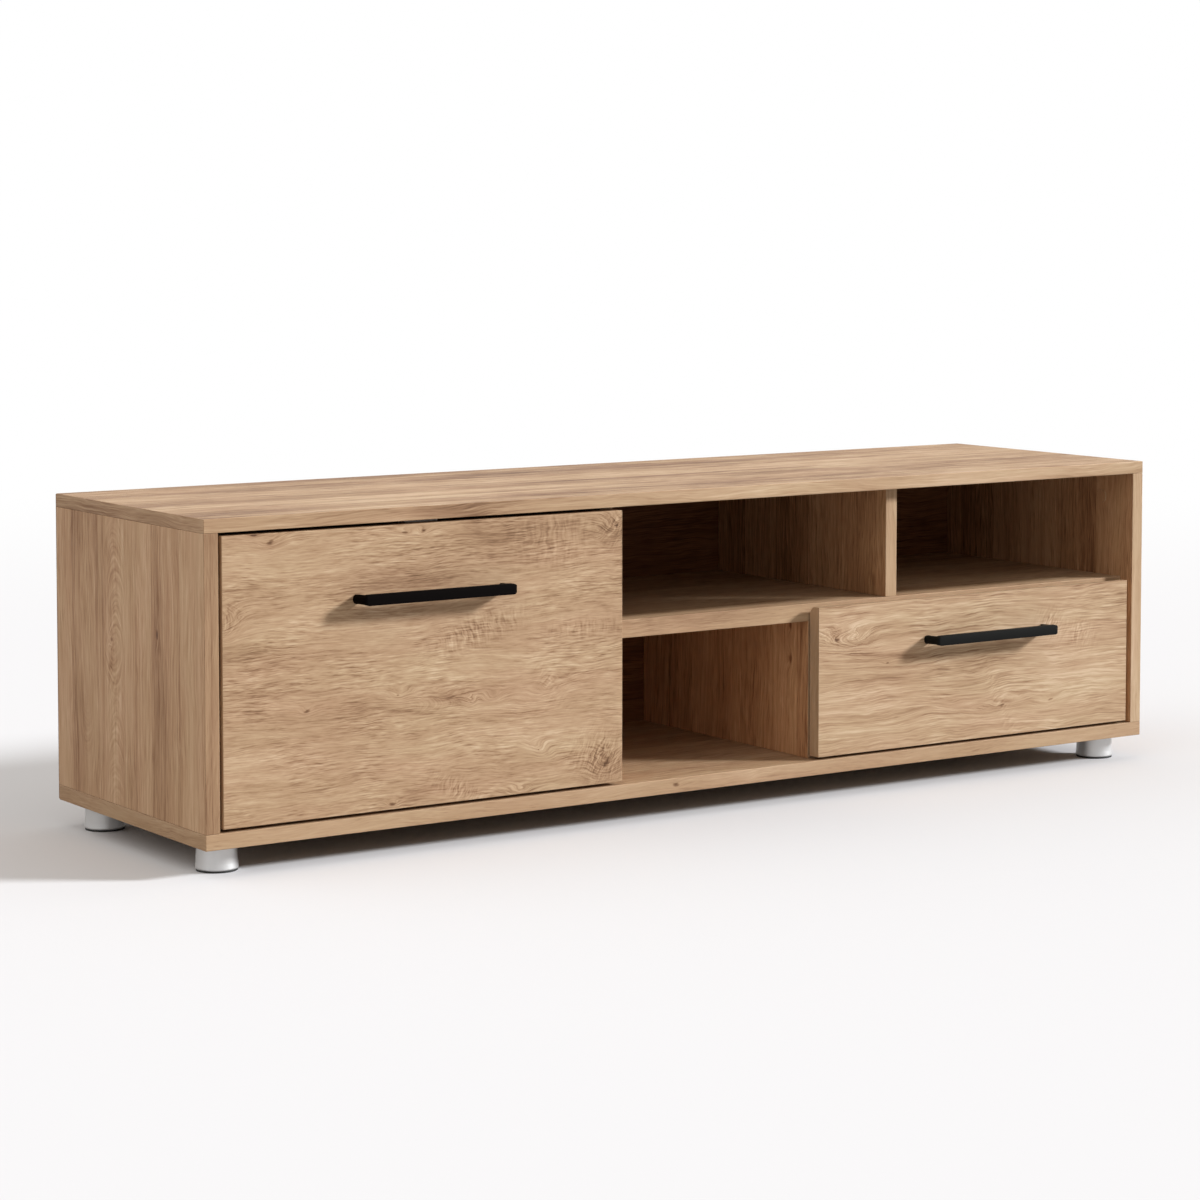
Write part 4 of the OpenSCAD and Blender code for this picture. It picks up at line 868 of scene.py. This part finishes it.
def make_fixing(name, socket=None):
    """A screw or pin on each place, the middle of its head's top. Its sizes are in millimetres."""
    tree, s, given, out = geometry_tree(
        name,
        ("Head Radius", "Head Height", "Shank Radius", "Length", "Socket Width", "Socket Depth"),
    )
    radius, height, shank = given["Head Radius"], given["Head Height"], given["Shank Radius"]
    head = turned_shape(s, HEAD_CORNERS, radius, radius, s.times(height, -1.0), 0.0, rings=3)
    head = domed(s, head, height)
    if socket is not None:
        cut = s.node(
            "GeometryNodeMeshBoolean", {"Mesh 1": head}, operation="DIFFERENCE", solver="EXACT",
        )
        for blade in socket(s, given["Socket Width"], given["Socket Depth"]):
            s.put(cut.inputs["Mesh 2"], blade)
        head = cut.outputs["Mesh"]
    end = s.times(given["Length"], -1.0)
    point = s.add(end, s.times(shank, POINT_LENGTH))
    start = s.times(height, -SHANK_START)
    tip = s.times(shank, TIP_RADIUS)
    bodies = s.node("GeometryNodeJoinGeometry", {"Geometry": head})
    s.put(bodies.inputs["Geometry"], turned_shape(s, SHANK_CORNERS, shank, shank, point, start))
    s.put(bodies.inputs["Geometry"], turned_shape(s, SHANK_CORNERS, tip, shank, end, point))
    put_on_places(s, given, bodies.outputs[0], out)
    return tree


def make_cap():
    """A stuck-on cap at each place, with a slightly sloped rim. Its sizes are in millimetres."""
    tree, s, given, out = geometry_tree("cap", ("Radius", "Thickness"))
    top = s.math("SUBTRACT", given["Radius"], CAP_SLOPE)
    bottom = s.times(given["Thickness"], -1.0)
    put_on_places(s, given, turned_shape(s, CAP_CORNERS, given["Radius"], top, bottom, 0.0), out)
    return tree


def put_on_places(s, given, shape, out):
    """The shape, in millimetres, on each place and facing its aim."""
    aim = s.node("GeometryNodeInputNamedAttribute", {"Name": "aim"}, data_type="FLOAT_VECTOR")
    turn = s.node("FunctionNodeAlignRotationToVector", {"Vector": aim.outputs["Attribute"]}, axis="Z")
    placed = s.node(
        "GeometryNodeInstanceOnPoints",
        {"Points": given["Places"], "Instance": shape, "Rotation": turn.outputs["Rotation"],
         "Scale": (MILLIMETRE,) * 3},
    )
    real = s.node("GeometryNodeRealizeInstances", {"Geometry": placed.outputs["Instances"]})
    dressed = s.node(
        "GeometryNodeSetMaterial",
        {"Geometry": real.outputs["Geometry"], "Material": given["Finish"]},
    )
    s.put(out["Pieces"], dressed.outputs["Geometry"])


def extent(places):
    """The lowest and highest corners of the box round these places."""
    low = Vector([min(place[axis] for place in places) for axis in range(3)])
    high = Vector([max(place[axis] for place in places) for axis in range(3)])
    return low, high


def solids(node):
    """The separate solids of a CAD node from left to right, each as its vertices' places."""
    bm = merged_copy(node)
    left = set(bm.verts)
    found = []
    while left:
        reached = [left.pop()]
        for vertex in reached:
            for edge in vertex.link_edges:
                other = edge.other_vert(vertex)
                if other in left:
                    left.remove(other)
                    reached.append(other)
        found.append([vertex.co.copy() for vertex in reached])
    bm.free()
    return sorted(found, key=lambda places: [round(value, 5) for value in extent(places)[0]])


def fixing(places):
    """What a screw's or pin's solid measures: its head's top, its head's aim, its sizes in mm."""
    low, high = extent(places)
    size, middle = high - low, (low + high) / 2
    axis = max(range(3), key=lambda k: size[k])
    reach = size[axis] / 2

    def radius(place):
        return math.hypot(*(place[k] - middle[k] for k in range(3) if k != axis))

    def rise(place, side):
        return (place[axis] - middle[axis]) * side

    def end_radius(side):
        return max(radius(place) for place in places if rise(place, side) > reach * END_START)

    side = max((-1, 1), key=end_radius)
    head = end_radius(side)
    rim = [place for place in places if radius(place) > head * RIM_START]
    sizes = {
        "Head Radius": head,
        "Head Height": max(reach - rise(place, side) for place in rim),
        "Shank Radius": end_radius(-side),
        "Length": 2 * reach,
    }
    aim = Vector([side if k == axis else 0 for k in range(3)])
    return middle + aim * reach, aim, {label: value / MILLIMETRE for label, value in sizes.items()}


def repeated(node, tree, where, sizes, look, slot):
    """Stands for a CAD node of equal solids: the tree's shape at each (place, aim) in where."""
    mesh = bpy.data.meshes.new(node + "_places")
    mesh.from_pydata([place for place, _ in where], [], [])
    layer = mesh.attributes.new("aim", "FLOAT_VECTOR", "POINT")
    for item, (_, aim) in zip(layer.data, where):
        item.vector = aim
    source = new_object(node + "_places", mesh)
    modifier = source.modifiers.new("repeated", "NODES")
    modifier.node_group = tree
    given = {**sizes, "Finish": look}
    for item in tree.interface.items_tree:
        if item.in_out == "INPUT" and item.name in given:
            modifier[item.identifier] = given[item.name]
    evaluated = source.evaluated_get(bpy.context.evaluated_depsgraph_get())
    made = bpy.data.meshes.new_from_object(evaluated)
    source.modifiers.remove(modifier)
    bpy.data.objects.remove(source)
    bm = bmesh.new()
    bm.from_mesh(made)
    bpy.data.meshes.remove(made)
    if slot == "oak_decor":
        low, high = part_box("right_side")
        map_grain(bm, grain=2, low=low, high=high, offset=(0.0, 0.0), shown=-1)
    piece = new_piece(node + "_finished", bm, look, node)
    shade_smooth(piece.data, FIXING_SMOOTH_ANGLE)


def fixings(nodes, tree, socket_width=0.0, socket_depth=0.0):
    """Stands for these nodes' screws or pins.

    The socket's width is in head radii, and its depth in head heights.
    """
    for node in nodes:
        found = [fixing(places) for places in solids(node)]
        sizes = dict(found[0][2])
        sizes["Socket Width"] = socket_width * sizes["Head Radius"]
        sizes["Socket Depth"] = socket_depth * sizes["Head Height"]
        where = [(place, aim) for place, aim, _ in found]
        repeated(node, tree, where, sizes, FINISHES[SLOTS[node]], SLOTS[node])


def inside(place, node):
    """Whether a place lies in a node's box."""
    low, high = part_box(node)
    return all(low[axis] < place[axis] < high[axis] for axis in range(3))


def caps(node):
    """Stands for the caps over the bores in the boards' faces. Each turns away from its board."""
    where = []
    for places in solids(node):
        low, high = extent(places)
        size, middle = high - low, (low + high) / 2
        axis = min(range(3), key=lambda k: size[k])
        out = Vector([1 if k == axis else 0 for k in range(3)])
        if any(inside(middle + out * size[axis], covered) for covered in CAPPED_BOARDS):
            out.negate()
        where.append((middle + out * size[axis] / 2, out))
    sizes = {"Radius": max(size) / 2 / MILLIMETRE, "Thickness": min(size) / MILLIMETRE}
    repeated(node, make_cap(), where, sizes, OAK["inner"], SLOTS[node])


fixings(
    CROSS_SCREWS, make_fixing("cross_screw", cross_socket), socket_width=1.2, socket_depth=0.6,
)
fixings(
    ("long_screws",), make_fixing("hexagon_screw", hexagon_socket),
    socket_width=0.92, socket_depth=0.75,
)
fixings(("back_pins",), make_fixing("pin"))
caps("cam_caps")


# ---- CAD nodes that stay ----
def dress_cad_nodes():
    """Gives each CAD node that still shows the finish of its material slot."""
    for name, node in frame["nodes"].items():
        if node.hide_render:
            continue
        look = BACK_FINISH if name == "back_panel" else FINISHES[SLOTS[name]]
        node.data.materials.clear()
        node.data.materials.append(look)


dress_cad_nodes()

# ---- Stage, light and camera ----
FLOOR_SIDE = 40.0
FLOOR_SEEN = (0.753525, 0.75735, 0.7803, 1.0)
FLOOR_BOUNCE = (0.42, 0.42, 0.42, 1.0)    # its colour for the light that it throws back
FLOOR_FADE_FROM = 1.6    # from the bench's middle, where the floor starts to fade
FLOOR_FADE_TO = 4.5      # and where it is as white as what lies behind it
WORLD_LIGHT = 0.60
WORLD_COLOUR = (1.0, 0.955, 0.90, 1.0)
WORLD_LEFT = 0.82        # added towards the left
WORLD_FRONT = -0.35      # added towards the front
WORLD_LOW = 0.35         # how much of it shines at the horizon
WORLD_RISE = 1.10        # and what is added straight above
WINDOW_POWER = 4.2
WINDOW_COLOUR = (0.96, 0.98, 1.0)
WINDOW_AZIMUTH = 56.0    # from straight in front towards the right
WINDOW_ELEVATION = 24.0
WINDOW_SOFTNESS = 10.0   # its width in degrees
FLAG_AHEAD = 0.031       # how far the flags stand in front of the inner boards
FLAG_LIFT = 0.022        # how far above the shelf their shadow starts
FLAG_LEFT_GAP = 0.005    # how far left of the upper divider it ends
FLAG_RIGHT_GAP = 0.022   # and how far right of it it starts again
FLAG_COLOUR = (0.05, 0.05, 0.05, 1.0)
SENSOR_WIDTH = 36.0
CAMERA_PLACE = (-2.3400, -3.3666, 0.7540)
CAMERA_YAW = 34.167      # from straight ahead towards the right
CAMERA_PITCH = 3.935     # below the horizon
CAMERA_LENS = 98.045
CAMERA_SHIFT = -0.15


def seen_ray(s):
    """1 for rays that show the background itself, 0 for rays that light the bench."""
    ray = s.node("ShaderNodeLightPath").outputs
    mirrored = s.math("MAXIMUM", ray["Is Glossy Ray"], ray["Is Transmission Ray"])
    return s.math("MAXIMUM", ray["Is Camera Ray"], mirrored)


def make_floor():
    """A pale floor that keeps the bench's shadow and fades to white further off."""
    mesh = bpy.data.meshes.new("floor")
    half = FLOOR_SIDE / 2
    corners = [(-half, -half, 0.0), (half, -half, 0.0), (half, half, 0.0), (-half, half, 0.0)]
    mesh.from_pydata(corners, [], [(0, 1, 2, 3)])
    new_object("floor", mesh)
    made, s, shader = material("pale_floor")
    mesh.materials.append(made)
    seen = seen_ray(s)
    s.put(shader["Base Color"], s.mix(seen, FLOOR_BOUNCE, FLOOR_SEEN))
    shader["Roughness"].default_value = 0.9
    shader["Specular IOR Level"].default_value = 0.0
    distance = s.vectors("LENGTH", s.node("ShaderNodeTexCoord").outputs["Object"])
    far = s.times(s.smooth(distance, FLOOR_FADE_FROM, FLOOR_FADE_TO), seen)
    glow = s.node("ShaderNodeEmission", {"Color": WHITE, "Strength": 1.0})
    blend = s.node("ShaderNodeMixShader", {"Fac": far})
    s.put(blend.inputs[1], s.tree.nodes["Principled BSDF"].outputs[0])
    s.put(blend.inputs[2], glow.outputs[0])
    s.put(s.tree.nodes["Material Output"].inputs["Surface"], blend.outputs[0])


def make_world():
    """A studio whose soft light is strongest from the left and weakest from the front."""
    world = bpy.data.worlds.new("studio")
    world.use_nodes = True
    s = Nodes(world.node_tree)
    background = world.node_tree.nodes["Background"].inputs
    x, y, z = s.split(s.node("ShaderNodeTexCoord").outputs["Generated"])
    left = s.times(s.math("MAXIMUM", s.times(x, -1.0), 0.0), WORLD_LEFT)
    front = s.times(s.math("MAXIMUM", s.times(y, -1.0), 0.0), WORLD_FRONT)
    height = s.add(WORLD_LOW, s.times(s.math("MAXIMUM", z, 0.0), WORLD_RISE))
    light = s.times(s.add(WORLD_LIGHT, left, front), height)
    seen = seen_ray(s)
    s.put(background["Strength"], s.add(s.times(light, s.math("SUBTRACT", 1.0, seen)), seen))
    s.put(background["Color"], s.mix(seen, WORLD_COLOUR, WHITE))
    bpy.context.scene.world = world


def towards_window():
    """The direction from the bench to the window's light."""
    azimuth, elevation = math.radians(WINDOW_AZIMUTH), math.radians(WINDOW_ELEVATION)
    return Vector((
        math.sin(azimuth) * math.cos(elevation),
        -math.cos(azimuth) * math.cos(elevation),
        math.sin(elevation),
    ))


def make_window():
    light = bpy.data.lights.new("window_light", "SUN")
    light.energy = WINDOW_POWER
    light.angle = math.radians(WINDOW_SOFTNESS)
    light.color = WINDOW_COLOUR
    window = new_object("window_light", light)
    window.rotation_mode = "QUATERNION"
    window.rotation_quaternion = towards_window().to_track_quat("Z", "Y")


def make_flags():
    """Two cards that keep most of the window's light out of the open bays. Only shadows show them."""
    light = towards_window()
    flap, post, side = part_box("flap_panel"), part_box("upper_divider"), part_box("right_side")
    top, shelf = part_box("top_panel"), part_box("middle_shelf")
    card_y = post[0].y - FLAG_AHEAD

    def on_card(x, y, z):
        """Where the light that passes this place goes through the cards."""
        return Vector((x, y, z)) + light * ((card_y - y) / light.y)

    low = on_card(0.0, post[0].y, shelf[1].z + FLAG_LIFT).z
    high = on_card(0.0, top[0].y, top[0].z).z
    bays = (
        ((flap[1].x, flap[0].y), (post[0].x - FLAG_LEFT_GAP, post[0].y)),
        ((post[1].x + FLAG_RIGHT_GAP, post[0].y), (side[0].x, side[0].y)),
    )
    corners, faces = [], []
    for bay in bays:
        left, right = (on_card(x, y, 0.0).x for x, y in bay)
        faces.append(tuple(range(len(corners), len(corners) + 4)))
        corners += [(left, card_y, low), (right, card_y, low)]
        corners += [(right, card_y, high), (left, card_y, high)]
    mesh = bpy.data.meshes.new("window_flags")
    mesh.from_pydata(corners, [], faces)
    flags = new_object("window_flags", mesh)
    made, _, shader = material("flag_card")
    shader["Base Color"].default_value = FLAG_COLOUR
    mesh.materials.append(made)
    flags.visible_camera = False
    flags.visible_diffuse = False
    flags.visible_glossy = False
    flags.visible_transmission = False


def make_camera():
    lens = bpy.data.cameras.new("camera")
    lens.sensor_width = SENSOR_WIDTH
    lens.lens = CAMERA_LENS
    lens.shift_y = CAMERA_SHIFT
    camera = new_object("camera", lens)
    camera.location = CAMERA_PLACE
    pitch, yaw = math.radians(90 - CAMERA_PITCH), -math.radians(CAMERA_YAW)
    camera.rotation_euler = Euler((pitch, 0.0, yaw))
    bpy.context.scene.camera = camera


make_floor()
make_world()
make_window()
make_flags()
make_camera()
bpy.context.scene.view_settings.view_transform = "Standard"
